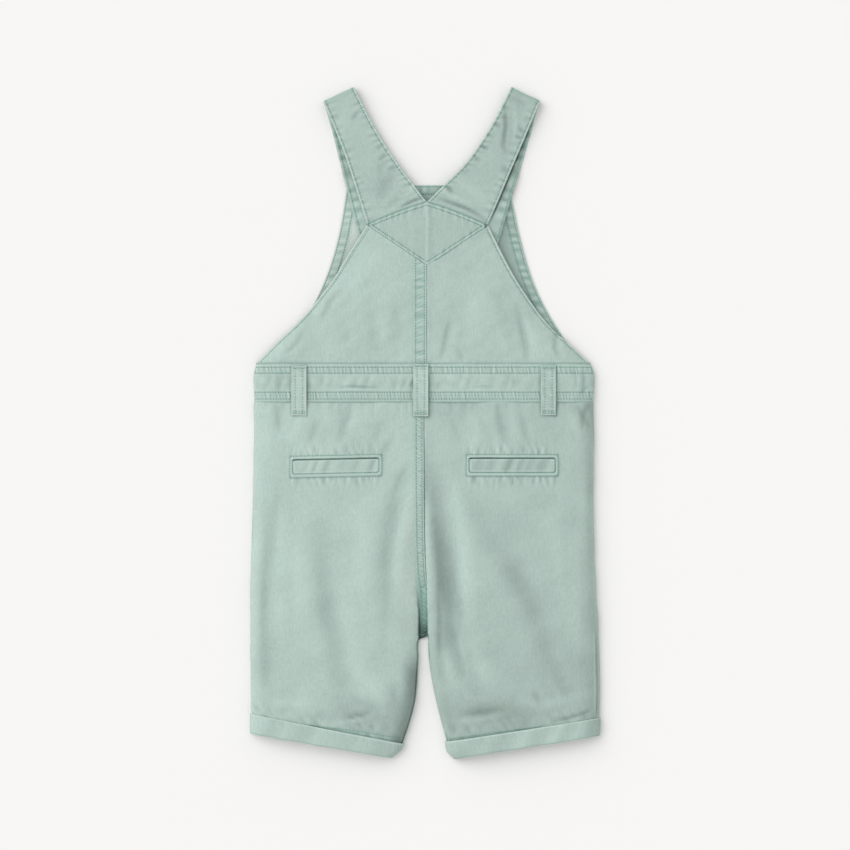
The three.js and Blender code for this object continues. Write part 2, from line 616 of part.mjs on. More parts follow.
function bands() {
  const backCloth = sheet(backBandPoint, UNIT, true, [0.5, 0.5]);
  const frontCloth = sheet(frontBandPoint, UNIT, false, [0.5, 0.5]);
  return [
    wall('back_waistband', backCloth, { us: spread(0, 1, 3), vs: crowded(26) }, BAND_CLOTH, TWILL),
    wall('front_waistband', frontCloth, { us: spread(0, 1, 2), vs: crowded(18) }, BAND_CLOTH, TWILL),
  ];
}

function backBib(side) {
  const cloth = sheet((u, v) => bibPoint(side, u, v), UNIT, true, [0.5, 0.5]);
  const vs = side === 'left' ? withStep(crowded(12), BIB_FELL_PLACE) : crowded(12);
  const fell = (u, v) => (side === 'left' && v > BIB_FELL_PLACE ? FELL_HEIGHT : 0);
  return wall(`back_bib_${side}`, cloth, { us: spread(0, 1, 12), vs }, CLOTH, TWILL, fell);
}

function backYoke() {
  const cloth = sheet(yokePoint, UNIT, true, [0.5, 0.5]);
  const places = { us: spread(0, 1, 5), vs: spread(0, 1, 14) };
  return wall('back_yoke', cloth, places, CLOTH, TWILL, () => YOKE_RAISE);
}

function strap(side) {
  const range = { u: [0, STRAP_END], v: [0, 1] };
  const cloth = sheet((u, v) => strapPoint(side, u, v), range, true, [2, 0.5]);
  const overFold = spread(STRAP_FOLD, STRAP_FOLD + STRAP_FOLD_SPAN, 7);
  const front = spread(STRAP_FOLD + STRAP_FOLD_SPAN + 0.4, STRAP_END, 12);
  const us = [...spread(0, STRAP_FOLD - 0.5, 8), ...overFold, ...front];
  return wall(`strap_${side}`, cloth, { us, vs: spread(0, 1, 5) }, STRAP_CLOTH, TWILL);
}

// A belt loop, sewn down at both ends and standing a little off the waistband between them
function beltLoop(name, place) {
  const overFell = name === 'centre' ? FELL_HEIGHT : 0;
  const surface = (u, v) => {
    const y = lerp(place.bottom, place.top, u);
    const x = place.x + LOOP.width * (v - 0.5);
    const onLeg = leg.left.high(0) + overFell;
    const under = lerp(onLeg, BAND_HIGH, smoothstep(y, BAND_BOTTOM - 9, BAND_BOTTOM - 1));
    const bulge = LOOP.bulge * Math.sin(Math.PI * u) ** 2;
    return new THREE.Vector3(x, y, under + overFell + GAP + bulge + LOOP.cloth);
  };
  const cloth = sheet(surface, UNIT, true, [0.5, 0.5]);
  return wall(`belt_loop_${name}`, cloth, { us: spread(0, 1, 10), vs: spread(0, 1, 2) }, LOOP.cloth, TWILL);
}

// The row and the place across at which a back leg passes through x, y
function placeOnLeg(side, x, y) {
  const at = leg[side];
  const acrossAt = (row) => (x - at.sideX(row)) / (at.innerX(row) - at.sideX(row));
  const yAt = (row) => lerp(at.sideY(row), at.innerY(row), acrossAt(row));
  let above = 0;
  let below = HEM_ROW;
  for (let turn = 0; turn < 30; turn += 1) {
    const middle = (above + below) / 2;
    if (yAt(middle) > y) above = middle;
    else below = middle;
  }
  return { row: above, across: acrossAt(above) };
}

function pocketWelt(side) {
  const place = WELTS[side];
  const cloth = movedOut(backLegCloth[side], GAP + WELT.cloth);
  const find = (u, v) => {
    const x = place.x + WELT.length * (v - 0.5);
    const y = place.y + WELT.width * (u - 0.5) + place.tilt * (x - place.x);
    return placeOnLeg(side, x, y);
  };
  const welt = {
    point: (u, v) => cloth.point(find(u, v).row, find(u, v).across),
    out: (u, v) => cloth.out(find(u, v).row, find(u, v).across),
  };
  return wall(`pocket_welt_${side}`, welt, { us: spread(0, 1, 2), vs: spread(0, 1, 10) }, WELT.cloth, TWILL);
}

// Joins and cuts need closed meshes whose shared corners are merged
async function buttonholeCutter() {
  const wasm = await Module();
  wasm.setup();
  const toManifold = (geometry) => {
    const bare = geometry.clone();
    bare.deleteAttribute('normal');
    bare.deleteAttribute('uv');
    const merged = mergeVertices(bare, 1e-4);
    const vertProperties = new Float32Array(merged.attributes.position.array);
    const triVerts = new Uint32Array(merged.index.array);
    return new wasm.Manifold(new wasm.Mesh({ numProp: 3, vertProperties, triVerts }));
  };
  return (geometry, tools) => {
    let body = toManifold(geometry);
    for (const tool of tools) body = body.subtract(toManifold(tool));
    const mesh = body.getMesh();
    const result = new THREE.BufferGeometry();
    result.setAttribute('position', new THREE.BufferAttribute(new Float32Array(mesh.vertProperties), 3));
    result.setIndex(new THREE.BufferAttribute(new Uint32Array(mesh.triVerts), 1));
    result.computeVertexNormals();
    return result;
  };
}

function frontBib(cut) {
  const cloth = sheet(frontBibPoint, UNIT, true, [0.5, 0.5]);
  const hemEdge = 1 - FRONT_HEM / (FRONT_BIB_TOP - BIB_BOTTOM);
  const hem = (u) => (u > hemEdge ? FRONT_HEM_RAISE : 0);
  const places = { us: withStep(spread(0, 1, 14), hemEdge), vs: spread(0, 1, 14) };
  const bib = wall('front_bib', cloth, places, CLOTH, TWILL_INSIDE, hem);
  const slits = Object.values(BUTTON_PLACES).map(({ x, y }) => {
    const slit = new THREE.BoxGeometry(BUTTONHOLE.width, BUTTONHOLE.length, BUTTONHOLE.high);
    slit.translate(x, y, BUTTON_LIFT);
    return slit;
  });
  bib.geometry = cut(bib.geometry, slits);
  return bib;
}

// A flat button with a thread shank that goes up through the buttonhole to the strap
function button(side) {
  const { radius, thick, rim, shank } = BUTTON;
  const top = BUTTON_LIFT + CLOTH + 2 * GAP;
  const profile = [
    [0, 0],
    [radius - rim, 0],
    [radius, rim],
    [radius, thick - rim],
    [radius - rim, thick],
    [shank, thick],
    [shank, top],
    [0, top],
  ];
  const geometry = new THREE.LatheGeometry(profile.map(([r, z]) => new THREE.Vector2(r, z)), 20);
  geometry.rotateX(Math.PI / 2);
  geometry.translate(BUTTON_PLACES[side].x, BUTTON_PLACES[side].y, 0);
  return pieceOf(`button_${side}`, geometry, BUTTON_COLOUR);
}

const group = new THREE.Group();
const cut = await buttonholeCutter();
for (const side of SIDES) {
  group.add(backLeg(side));
  group.add(frontLeg(side));
  group.add(cuff(`cuff_back_${side}`, backLegCloth[side], ACROSS_BACK[side]));
  group.add(cuff(`cuff_front_${side}`, frontLegCloth[side], ACROSS_FRONT));
  group.add(backBib(side));
  group.add(strap(side));
  group.add(pocketWelt(side));
  group.add(button(side));
}
group.add(...bands());
group.add(backYoke());
group.add(frontBib(cut));
for (const [name, place] of Object.entries(LOOPS)) group.add(beltLoop(name, place));

export default group;
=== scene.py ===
"""Looks of the baby dungaree shorts: washed cotton twill, sewn and laid flat on their front with the back up.

Tables and surfaces are in millimetres, as in the part's source. Meshes are in metres.
"""
import math
from functools import partial

import bmesh
import bpy
import numpy as np
from mathutils import Matrix, Vector


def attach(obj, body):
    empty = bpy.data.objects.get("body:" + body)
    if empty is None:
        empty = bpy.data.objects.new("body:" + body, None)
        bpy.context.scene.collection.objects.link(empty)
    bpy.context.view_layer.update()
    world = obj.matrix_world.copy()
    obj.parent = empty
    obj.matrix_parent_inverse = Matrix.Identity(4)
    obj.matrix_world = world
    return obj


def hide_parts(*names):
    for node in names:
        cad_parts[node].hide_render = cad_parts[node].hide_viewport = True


bl_info = {
    "name": "Baby Dungaree Shorts",
    "version": (1, 0, 0),
    "blender": (4, 5, 0),
    "location": "View3D > Sidebar > Dungarees",
    "description": "Dresses the laid-out dungaree shorts in sewn, washed twill",
    "category": "Object",
}

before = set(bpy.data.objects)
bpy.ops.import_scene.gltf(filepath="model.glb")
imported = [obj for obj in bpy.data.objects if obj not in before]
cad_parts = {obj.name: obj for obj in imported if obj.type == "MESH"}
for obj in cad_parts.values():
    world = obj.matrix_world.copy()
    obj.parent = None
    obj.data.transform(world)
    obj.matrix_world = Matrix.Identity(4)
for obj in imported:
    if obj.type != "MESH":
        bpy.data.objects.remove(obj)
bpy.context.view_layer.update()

MM = 0.001
SIDES = ("left", "right")

# Walls of the panels that are not one layer of twill
CUFF_WALL = 0.9
WELT_WALL = 0.9
YOKE_WALL = 1.1
LOOP_WALL = 1.1
BAND_WALL = 1.4

# Cloth and seams
CLOTH = 1.2
STRAP_CLOTH = 1.6
GAP = 0.3
FELL_HEIGHT = 0.7
SEAM_END = 5.04
FOLD_RADIUS = 3
SIDE_SEAM_Z = 2.4
BAND_BOTTOM = 17.1
BAND_TOP = 46.9
BAND_HIGH = 10.5
BAND_LENGTH = 271
LEG_TOP = BAND_BOTTOM - GAP
BIB_BOTTOM = BAND_TOP + GAP
ARMHOLE_EASE = 0.7
BIB_SEAM_X = 1
BIB_FELL_WIDTH = 10
BIB_FELL_PLACE = 0.9
LEG_FELL_WIDTH = 7.4
CROTCH_Y = -172.5
FREE_ROW = 5.3
VALLEY_WIDTH = 30
YOKE_LEFT = (-46.6, 158.3)
YOKE_RIGHT = (49.6, 157.6)
YOKE_LOW = (1.4, 126)
YOKE_HIGH_Y = 176.4
YOKE_BOW = 0.9
YOKE_BLUNT = 2
YOKE_RAISE = 0.4
YOKE_TALL = 50
FRONT_BIB_TOP = 190.4
FRONT_BIB_TALL = 143
FRONT_BIB_WIDE = 190
FRONT_HEM = 8
FRONT_HEM_RAISE = 0.6
BUTTON_THICK = 2.2
BUTTON_LIFT = BUTTON_THICK + GAP
LIFT_RADII = (8, 24)
BUTTON_PLACES = {"left": (-43.5, 162), "right": (50, 162)}
SHOULDER_HIGH = 7.2
SHOULDER_RADIUS = SHOULDER_HIGH / 2
LOOP_WIDTH = 12.2
LOOP_CLOTH = 1.2
LOOP_BULGE = 1.1
LOOP_STITCH = 3.1
LOOPS = {"left": (-101, 5.4, 45.4), "centre": (-3.6, 4.8, 47), "right": (98.4, 5.6, 45.6)}
WELT_LENGTH = 68.4
WELT_WIDTH = 11
FRAME_HALF = (WELT_LENGTH / 2 + 2.6, WELT_WIDTH / 2 + 3.2)
WELTS = {"left": (-71.6, -34.9, 0.022), "right": (69.5, -34.3, 0)}
CUFF_ROW = 8
HEM_ROW = 9
CUFF_HEIGHT = 16.5
CUFF_BEVEL = 0.5
LEG_END = HEM_ROW - (CLOTH + 2 * GAP) / CUFF_HEIGHT
STRAP_FOLD = 5
STRAP_FOLD_SPAN = 1
STRAP_END = STRAP_FOLD * 2 + STRAP_FOLD_SPAN
STRAP_WIDE = 33
STRAP_ROW = 24
STRAP_STITCH = 1.9
STRAP_FRONT_WIDTH = 25.575

# Distance to a slanting edge for each millimetre straight across, or up, to it
ARMHOLE_SLOPE = 0.78
FRONT_SLOPE = 0.86
STRAP_SLOPE = 0.93
YOKE_LOW_SLOPE = 0.83
YOKE_HIGH_SLOPE = 0.93

# Row, side edge x and y, inner edge x and y of the legs, and for the back ones their height, how far they
# dive towards the inner edge and how round that edge is
LEG_ROWS = {
    "left": (
        (0, -137.0, LEG_TOP, -1.4, LEG_TOP, 9.9, 0, 0),
        (1, -137.3, -20, -1.3, -22, 10.8, 0.05, 0),
        (2, -138.2, -60, -1.2, -62, 11.6, 0.13, 0),
        (3, -139.4, -98, -0.6, -100, 12.0, 0.28, 0),
        (4, -140.0, -134, 0.6, -136, 12.2, 0.55, 0.1),
        (5, -140.2, -166, 0.7, -168, 12.2, 0.95, 0.7),
        (5.14, -140.2, -170, 0.6, -171.6, 12.2, 0.98, 0.8),
        (5.3, -140.2, -175, -4.8, -174.6, 12.2, 1, 0.9),
        (6, -140.0, -196, -5.3, -190, 12.2, 1, 1),
        (7, -139.6, -218, -8.0, -224, 11.8, 1, 1),
        (8, -139.1, -233.2, -18.0, -257.0, 11.2, 1, 1),
        (9, -139.1, -249.2, -27.6, -268.2, 10.8, 1, 1),
    ),
    "right": (
        (0, 134.6, LEG_TOP, -1.1, LEG_TOP, 9.9, 0, 0),
        (1, 135.2, -20, -1.0, -22, 10.8, 0.05, 0),
        (2, 134.4, -60, -0.9, -62, 11.6, 0.13, 0),
        (3, 135.2, -98, -0.3, -100, 12.0, 0.28, 0),
        (4, 136.8, -134, 1.2, -136, 12.2, 0.55, 0.1),
        (5, 138.6, -166, 2.0, -168, 12.2, 0.95, 0.7),
        (6, 139.6, -196, 2.8, -190, 12.2, 1, 1),
        (7, 140.0, -220, 8.2, -222, 11.8, 1, 1),
        (8, 139.1, -236.4, 17.0, -255.4, 11.2, 1, 1),
        (8.6, 138.7, -245.0, 18.6, -263.2, 11.0, 1, 1),
        (9, 138.2, -250.8, 24.4, -268.9, 10.8, 1, 1),
    ),
}

# y, left and right edge
BAND_ROWS = ((BAND_BOTTOM, -137.0, 134.6), (38, -137.4, 135.6), (BAND_TOP, -135.8, 132.4))
ARMHOLE_ROWS = (
    (BAND_TOP, -135.8, 132.4),
    (62, -121.4, 116.2),
    (79, -103.6, 98.3),
    (95, -88.9, 85.7),
    (115, -73.8, 72.6),
    (136, -60.9, 61.2),
    (158.3, -46.6, 50.2),
)
FRONT_ROWS = (
    (BAND_TOP, -134.0, 131.0),
    (60, -116.0, 117.0),
    (88, -93.8, 98.2),
    (117, -79.6, 84.8),
    (150, -69.6, 75.4),
    (FRONT_BIB_TOP, -62.6, 67.2),
)

# y, height at the edges and in the middle, how far in the middle height is reached, and how stiff the edge is
BACK_ROWS = (
    (BAND_TOP, 2.6, 9.9, 18, 0),
    (62, 3.8, 9.6, 22, 0.6),
    (80, 4.4, 9.3, 26, 1),
    (105, 5.0, 9.1, 28, 1),
    (130, 6.2, 9.0, 28, 1),
    (152, 7.6, 9.1, 28, 1),
    (166, 7.9, 9.0, 28, 1),
    (180, 7.2, 8.2, 28, 1),
    (196, 6.2, 6.7, 28, 1),
    (216, 5.6, 5.8, 28, 1),
    (240, 6.2, 6.2, 28, 1),
    (262, SHOULDER_HIGH, SHOULDER_HIGH, 28, 1),
)

# Row, outer edge x and y, inner edge x and y of the straps
STRAP_BACK = {
    "left": (
        (0, -46.6, 158.6, 0.9, 176.8),
        (1, -52.7, 178.0, -12.6, 194.6),
        (2, -59.0, 198.0, -24.2, 210.4),
        (3, -65.6, 217.5, -36.0, 228.6),
        (4, -73.6, 237.5, -46.6, 247.6),
        (5, -80.6, 254.1, -55.7, 265.8),
    ),
    "right": (
        (0, 49.9, 158.0, 1.6, 176.8),
        (1, 58.2, 177.0, 17.0, 192.2),
        (2, 66.6, 197.0, 31.6, 206.9),
        (3, 74.6, 216.0, 43.6, 223.2),
        (4, 83.2, 236.0, 55.2, 242.0),
        (5, 90.9, 254.5, 67.3, 265.8),
    ),
}
STRAP_FRONT = {
    "left": (
        (0, -80.6, 254.1, -55.7, 265.8),
        (1, -73.6, 229.0, -47.8, 237.5),
        (2, -66.4, 200.0, -40.2, 207.4),
        (3, -59.2, 172.0, -33.0, 179.0),
        (4, -52.4, 146.5, -26.2, 153.5),
        (5, -46.4, 124.0, -20.4, 131.0),
    ),
    "right": (
        (0, 90.9, 254.5, 67.3, 265.8),
        (1, 83.8, 229.0, 58.8, 237.5),
        (2, 75.2, 200.0, 50.0, 207.6),
        (3, 66.6, 172.0, 41.6, 179.4),
        (4, 59.3, 146.5, 34.3, 153.9),
        (5, 53.2, 124.0, 28.2, 131.4),
    ),
}

# The largest folds: from x, y to x, y, width and height
FOLDS = (
    (16, -52, 20, -186, 13, -1.7),
    (-24, -56, -38, -146, 11, -1.0),
    (-126, -50, -128, -214, 7, -0.8),
    (-76, -212, -36, -226, 9, 0.9),
    (24, -212, 66, -224, 9, 0.9),
    (92, -224, 132, -212, 8, -0.8),
    (-110, 62, -84, 92, 9, -0.8),
    (66, 118, 82, 56, 8, -0.9),
    (-64, 8, -84, -24, 8, -0.5),
    (48, 8, 58, -26, 9, -0.6),
)

# Creases by panel: width, height, which is negative in a trough, and x and y of each point on the way
LEG_CREASES = {
    "left": (
        (6.0, -1.8, -12, -34, -18, -48, -22, -64, -26, -86, -29, -112, -31, -146, -33, -186),
        (3.0, -0.7, -13, -32, -19, -44, -26, -63),
        (7.0, 1.4, -3, -40, -11, -66, -17, -96, -22, -130),
        (8.0, 0.8, -44, -60, -48, -100, -50, -150),
        (5.0, -1.7, -116, -44, -122, -84, -127, -130, -129, -172, -127, -216),
        (4.0, 0.9, -133, -70, -136, -130, -136, -190),
        (6.0, 0.7, -110, -60, -114, -120, -116, -190),
        (9.0, -1.3, -86, -76, -80, -140, -72, -182, -64, -216),
        (10.0, 0.8, -100, -60, -99, -120, -96, -190),
        (8.0, 0.7, -64, -130, -56, -170, -48, -200),
        (3.8, -1.0, -58, 15, -63, 2, -70, -18),
        (4.0, 0.4, -50, 15, -56, -2, -62, -20),
        (3.4, -0.8, -86, 4, -90, -10, -94, -20),
        (2.2, -1.0, -117, 15, -117.4, 2, -116.6, -10),
        (4.0, 0.6, -124, 14, -126, -10, -124, -30),
        (3.6, -0.5, -33, 2, -40, -14, -44, -24),
        (3.2, -0.8, -23, -8, -31, -20, -36, -32),
        (4.0, 0.5, -96, 14, -100, -4, -106, -18),
        (1.4, -1.8, -66, -237.4, -56.2, -234.8, -48.2, -233.2, -41, -230.4),
        (1.8, 1.0, -76, -243, -64, -239, -46, -236.5),
        (3.0, -0.4, -102, -233, -88, -236, -70, -239),
        (3.0, 0.5, -34, -222, -32, -236),
        (5.0, -0.9, -26, -206, -22, -228, -24, -246),
        (5.0, 0.7, -128, -222, -110, -226, -92, -228),
        (3.0, -0.6, -120, -232, -108, -229, -98, -231),
        (6.0, 1.0, -56, -196, -40, -212, -30, -226),
        (3.2, -0.5, -62, -214, -52, -224, -40, -228),
    ),
    "right": (
        (8.8, -3.0, 3.5, -14, 7.5, -46, 11.5, -80, 14.5, -108, 17, -142, 20, -186),
        (10.0, -1.3, 13, -70, 17, -110, 21, -150),
        (3.6, -1.8, 10, -160, 10, -178, 9, -192),
        (4.4, -1.5, 21, -160, 26, -184, 33, -208),
        (3.2, 1.2, 2.0, -50, 3.0, -90, 4.6, -124, 5.4, -150),
        (8.0, 1.5, 26, -46, 33, -104, 40, -168),
        (4.0, 0.8, 16, -182, 19, -200, 22, -214),
        (4.2, -1.2, 58, 15, 61, -4, 66, -19),
        (3.0, -0.8, 76, 10, 80, -8, 83, -19),
        (3.6, 0.15, 68, 14, 72, -4, 75, -16),
        (2.8, -0.35, 21, 4, 26, -10, 30, -20),
        (5.0, 0.6, 38, 10, 42, -10, 40, -22),
        (9.5, -1.0, 52, -58, 46, -80, 54, -98, 69, -118, 83, -140, 94, -164, 98, -192, 97, -218),
        (6.0, 0.3, 106, -66, 106, -94, 110, -128, 118, -164),
        (4.5, -1.5, 8, -130, 10, -152, 11, -176),
        (5.0, -0.8, 25, -130, 27, -150, 29, -172),
        (7.0, -0.6, 24, -146, 31, -178, 40, -204, 48, -222),
        (5.0, -0.6, 6, -178, 12, -196, 18, -214),
        (8.0, 0.9, 30, -170, 44, -196, 52, -216),
        (6.0, -0.3, 114, -60, 120, -110, 122, -150),
        (7.0, 0.7, 118, -70, 121, -130, 122, -180),
        (2.2, -1.4, 121, 14, 128, 4, 133, -6),
        (2.0, -1.0, 131, 16, 127, 4, 126, -6),
        (3.0, 0.7, 117, 8, 121, -4, 127, -12),
        (4.0, 0.9, 128, -20, 128, -80, 131, -140, 134, -210),
        (2.2, -1.5, 28, -233, 40, -232.4, 52, -231, 66, -229),
        (2.2, 1.1, 20, -239, 42, -238, 62, -234),
        (1.4, -1.5, 100, -239.5, 116, -236.4, 128, -232.5, 135, -229.2),
        (4.5, 0.8, 72, -222, 90, -226, 110, -222),
        (6.0, -0.9, 96, -176, 106, -204, 116, -222),
        (3.0, -0.7, 86, -214, 94, -228),
        (3.0, 0.6, 104, -214, 112, -226),
        (5.0, -0.9, 14, -214, 18, -236, 24, -250),
        (4.0, 0.7, 30, -216, 40, -222, 56, -220),
    ),
}
BIB_CREASES = {
    "left": (
        (2.6, -0.9, -66, 108, -76, 96, -82, 84, -85, 75),
        (4.0, 0.5, -70, 110, -82, 97, -90, 82),
        (2.2, -1.2, -96, 75, -103, 63, -113, 54),
        (3.0, 0.3, -90, 73, -98, 60, -106, 52),
        (8.0, -1.0, -88, 88, -96, 70, -107, 54),
        (5.0, -0.5, -45, 106, -42, 80, -41, 52),
        (3.0, -0.4, -61, 76, -63, 62),
        (5.0, -0.35, -24, 100, -22, 70, -20, 50),
        (6.0, 0.4, -33, 90, -31, 60),
        (6.0, 0.3, -50, 140, -40, 128, -26, 122),
    ),
    "right": (
        (2.6, -0.9, 21, 84, 17, 68, 13, 50),
        (3.4, 0.3, 27, 86, 24, 66, 20, 50),
        (2.4, -0.6, 25, 62, 31, 49),
        (5.0, -0.6, 52, 108, 60, 98, 64, 84),
        (2.6, -1.2, 74, 96, 78, 74, 82, 56, 80, 48),
        (5.0, -0.5, 62, 104, 67, 80, 71, 56),
        (5.0, 0.5, 86, 84, 88, 64, 90, 50),
        (2.0, -1.1, 106, 74, 104, 60, 108, 50),
        (2.6, 0.5, 111, 70, 110, 60, 114, 51),
        (9.0, 0.5, 42, 120, 40, 90, 44, 56),
    ),
}
STRAP_CREASES = {
    "left": (
        (1.2, -1.6, -20, 172, -10, 177, 0, 181),
        (1.8, 0.7, -24, 178, -12, 184, -4, 188),
        (2.2, -0.5, -34, 170, -20, 180, -10, 187),
        (4.0, 0.3, -52, 168, -42, 178, -36, 184),
        (5.5, -0.6, -22, 206, -31, 192, -38, 176),
        (3.0, -0.4, -33, 194, -36, 204, -29, 210),
        (1.9, -0.7, -23, 207, -30, 201),
        (1.7, -0.8, -30, 215, -38, 209),
        (2.2, -0.5, -33, 222, -39, 218),
        (1.9, -0.7, -53, 248, -59, 242),
        (4.0, 0.3, -62, 262, -66, 240, -64, 222),
        (2.0, -0.4, -74, 232, -68, 226),
        (2.0, -0.4, -78, 246, -72, 240),
    ),
    "right": (
        (1.25, -1.8, 7, 181, 20, 176, 34, 171, 50, 162),
        (1.9, 0.7, 8, 186, 22, 181, 38, 174),
        (1.5, -1.1, 17, 189, 23, 183),
        (1.8, -0.6, 30, 206, 37, 201),
        (1.7, -0.7, 37, 214, 45, 209),
        (1.7, -0.9, 43, 223, 51, 218),
        (1.6, -0.7, 49, 231, 56, 227),
        (1.6, -0.8, 55, 240, 61, 235),
        (2.1, -1.3, 64, 256, 65, 238, 63, 222, 66, 213),
        (2.2, 0.5, 71, 258, 73, 240, 71, 222),
        (5.0, -0.6, 66, 264, 74, 260, 83, 254),
        (4.0, -0.4, 67, 250, 68, 232, 66, 208),
        (1.6, -0.8, 72, 230, 78, 226),
        (1.8, -0.6, 74, 238, 80, 230),
        (2.4, -0.6, 62, 207, 66, 199),
        (4.0, 0.4, 24, 196, 40, 184, 54, 172),
    ),
}
BAND_CREASES = (
    (1.0, -1.2, -69, 28.0, -58, 28.7, -48, 27.9, -36, 27.6),
    (1.0, 0.7, -71, 25.7, -54, 26.1, -36, 26.0),
    (1.0, -0.5, 32, 26.8, 46, 28.6, 60, 28.0),
    (1.8, -0.6, 117, 46, 121, 36, 120, 24),
    (2.2, -0.9, 126, 42, 128, 32, 126, 18),
    (1.6, -0.8, 132, 30, 124, 22),
    (2.4, -0.4, -118, 40, -116, 30, -117, 20),
    (1.8, -0.4, -92, 34, -93, 26),
    (1.8, -0.5, -27, 36, -23, 26),
    (1.6, -0.5, 12, 34, 10, 26),
    (1.8, -0.4, 70, 36, 72, 27),
    (2.4, -0.6, -8, 34, -12, 28),
    (2.0, -0.5, 93, 38, 90, 27),
)

# Rows of stitches: their heights on the waistband, how far in from the edge they run on felled seams and
# the front bib's hem, how far from a belt loop's ends its tacks lie, and how far above each cuff the rows of
# the hem start, with how much further up they run past the places across in HEM_OPENS
STITCH_ROWS_OF_BAND = (44.2, 39.4, 24.2, 18.7)
LEG_FELL_ROWS = (1.5, 6.1)
BIB_FELL_ROWS = (1.5, 8.6)
FRONT_HEM_ROWS = (1.4, 7.4)
LOOP_TACKS = (1.7, 3.3)
TACK_PITCH = 1.9
HEM_ROWS = {"left": ((0.1, 0.6), (0.3, 2.1)), "right": ((0.1, 0.3), (0.5, 0.7))}
HEM_OPENS = (0.35, 0.75)

# Painted shade: how much darker than the rest some panels are painted as a whole, those on the right, away
# from the light, most, or paler, as painted light, where it is negative
PAINTED_PANEL_SHADE = {
    "cloth_back_leg_right": 0.09,
    "cloth_back_bib_left": 0.025,
    "cloth_back_bib_right": 0.055,
    "cloth_back_waistband": 0.04,
    "cloth_back_yoke": 0.12,
    "cloth_strap_left": 0.09,
    "cloth_strap_right": 0.13,
    "cloth_cuff_back_left": 0.06,
    "cloth_cuff_back_right": 0.09,
    "cloth_belt_loop_left": -0.07,
    "cloth_belt_loop_right": 0.08,
    "cloth_pocket_welt_left": 0.06,
    "cloth_pocket_welt_right": 0.24,
}


def lerp(start, end, place):
    return start + (end - start) * place


def smoothstep(value, low, high):
    place = np.clip((value - low) / (high - low), 0, 1)
    return place * place * (3 - 2 * place)


def bell(distance, width):
    """1 at no distance, fading out over the width."""
    return np.exp(-((distance / width) ** 2))


def round_rise(q):
    return np.sqrt(1 - (1 - np.clip(q, 0, 1)) ** 2)


def easy_rise(q):
    return np.sin(np.clip(q, 0, 1) * np.pi / 2)


def column(rows, place):
    """A smooth curve through one column of a table, read by its first column."""
    keys = np.array([row[0] for row in rows], dtype=float)
    values = np.array([row[place] for row in rows], dtype=float)
    last = len(rows) - 1
    before = np.maximum(np.arange(last + 1) - 1, 0)
    after = np.minimum(np.arange(last + 1) + 1, last)
    slopes = (values[after] - values[before]) / (keys[after] - keys[before])

    def curve(at):
        index = np.clip(np.searchsorted(keys, at) - 1, 0, last - 1)
        span = keys[index + 1] - keys[index]
        t = np.clip((at - keys[index]) / span, 0, 1)
        rest = 1 - t
        ends = values[index] * rest**2 * (1 + 2 * t) + values[index + 1] * t**2 * (1 + 2 * rest)
        return ends + span * (slopes[index] * t * rest**2 - slopes[index + 1] * t**2 * rest)

    return curve


def columns(rows):
    """All the columns of a table but the first, as curves."""
    return [column(rows, place) for place in range(1, len(rows[0]))]


LEG = {side: columns(LEG_ROWS[side]) for side in SIDES}
STRAP_RUNS = {side: (columns(STRAP_BACK[side]), columns(STRAP_FRONT[side])) for side in SIDES}
BAND_LEFT, BAND_RIGHT = columns(BAND_ROWS)
ARMHOLE = dict(zip(SIDES, columns(ARMHOLE_ROWS)))
FRONT_LEFT, FRONT_RIGHT = columns(FRONT_ROWS)
BACK_EDGE, BACK_MIDDLE, BACK_CROWN, BACK_STIFF = columns(BACK_ROWS)


def fold_height(x, y):
    """How much the largest folds raise or lower the cloth."""
    height = np.zeros_like(x)
    for from_x, from_y, to_x, to_y, width, rise in FOLDS:
        run_x, run_y = to_x - from_x, to_y - from_y
        length = math.hypot(run_x, run_y)
        along = ((x - from_x) * run_x + (y - from_y) * run_y) / length
        aside = np.abs((x - from_x) * run_y - (y - from_y) * run_x) / length
        ends = smoothstep(along, -width, width) * smoothstep(length - along, -width, width)
        height += rise * ends * (1 - smoothstep(aside, 0, width))
    return height


def crease_marks(x, y, creases):
    """How much creases raise or lower the cloth, and how deep in a trough and how high on a ridge it is."""
    rise = np.zeros_like(x)
    trough = np.zeros_like(x)
    ridge = np.zeros_like(x)
    for width, height, *places in creases:
        line = list(zip(places[::2], places[1::2]))
        steps = [math.dist(a, b) for a, b in zip(line, line[1:])]
        total = sum(steps)
        nearest = np.full_like(x, 1e6)
        place = np.zeros_like(x)
        before = 0.0
        for (ax, ay), (bx, by), step in zip(line, line[1:], steps):
            t = np.clip(((x - ax) * (bx - ax) + (y - ay) * (by - ay)) / step**2, 0, 1)
            away = np.hypot(x - ax - t * (bx - ax), y - ay - t * (by - ay))
            closer = away < nearest
            nearest = np.where(closer, away, nearest)
            place = np.where(closer, (before + t * step) / total, place)
            before += step
        shape = bell(nearest, width) * np.sin(np.pi * np.clip(place, 0, 1)) ** 0.7
        rise += height * shape
        if height < 0:
            trough = np.maximum(trough, shape * min(1, -height))
        else:
            ridge = np.maximum(ridge, shape * min(1, height))
    return rise, trough, ridge


def uneven(along, pitch, seed):
    """A wave whose pitch and height wander."""
    wander = 1.1 * np.sin(2 * np.pi * along / (pitch * 5.3) + seed)
    wander = wander + 0.8 * np.sin(2 * np.pi * along / (pitch * 2.9) + 2.1 * seed)
    swell = 0.66 + 0.34 * np.sin(2 * np.pi * along / (pitch * 3.7) + 1.7 * seed)
    return swell * np.cos(2 * np.pi * along / pitch + wander)


def crests(wave):
    return np.maximum(wave, 0)


def dips(wave):
    return np.maximum(-wave, 0)


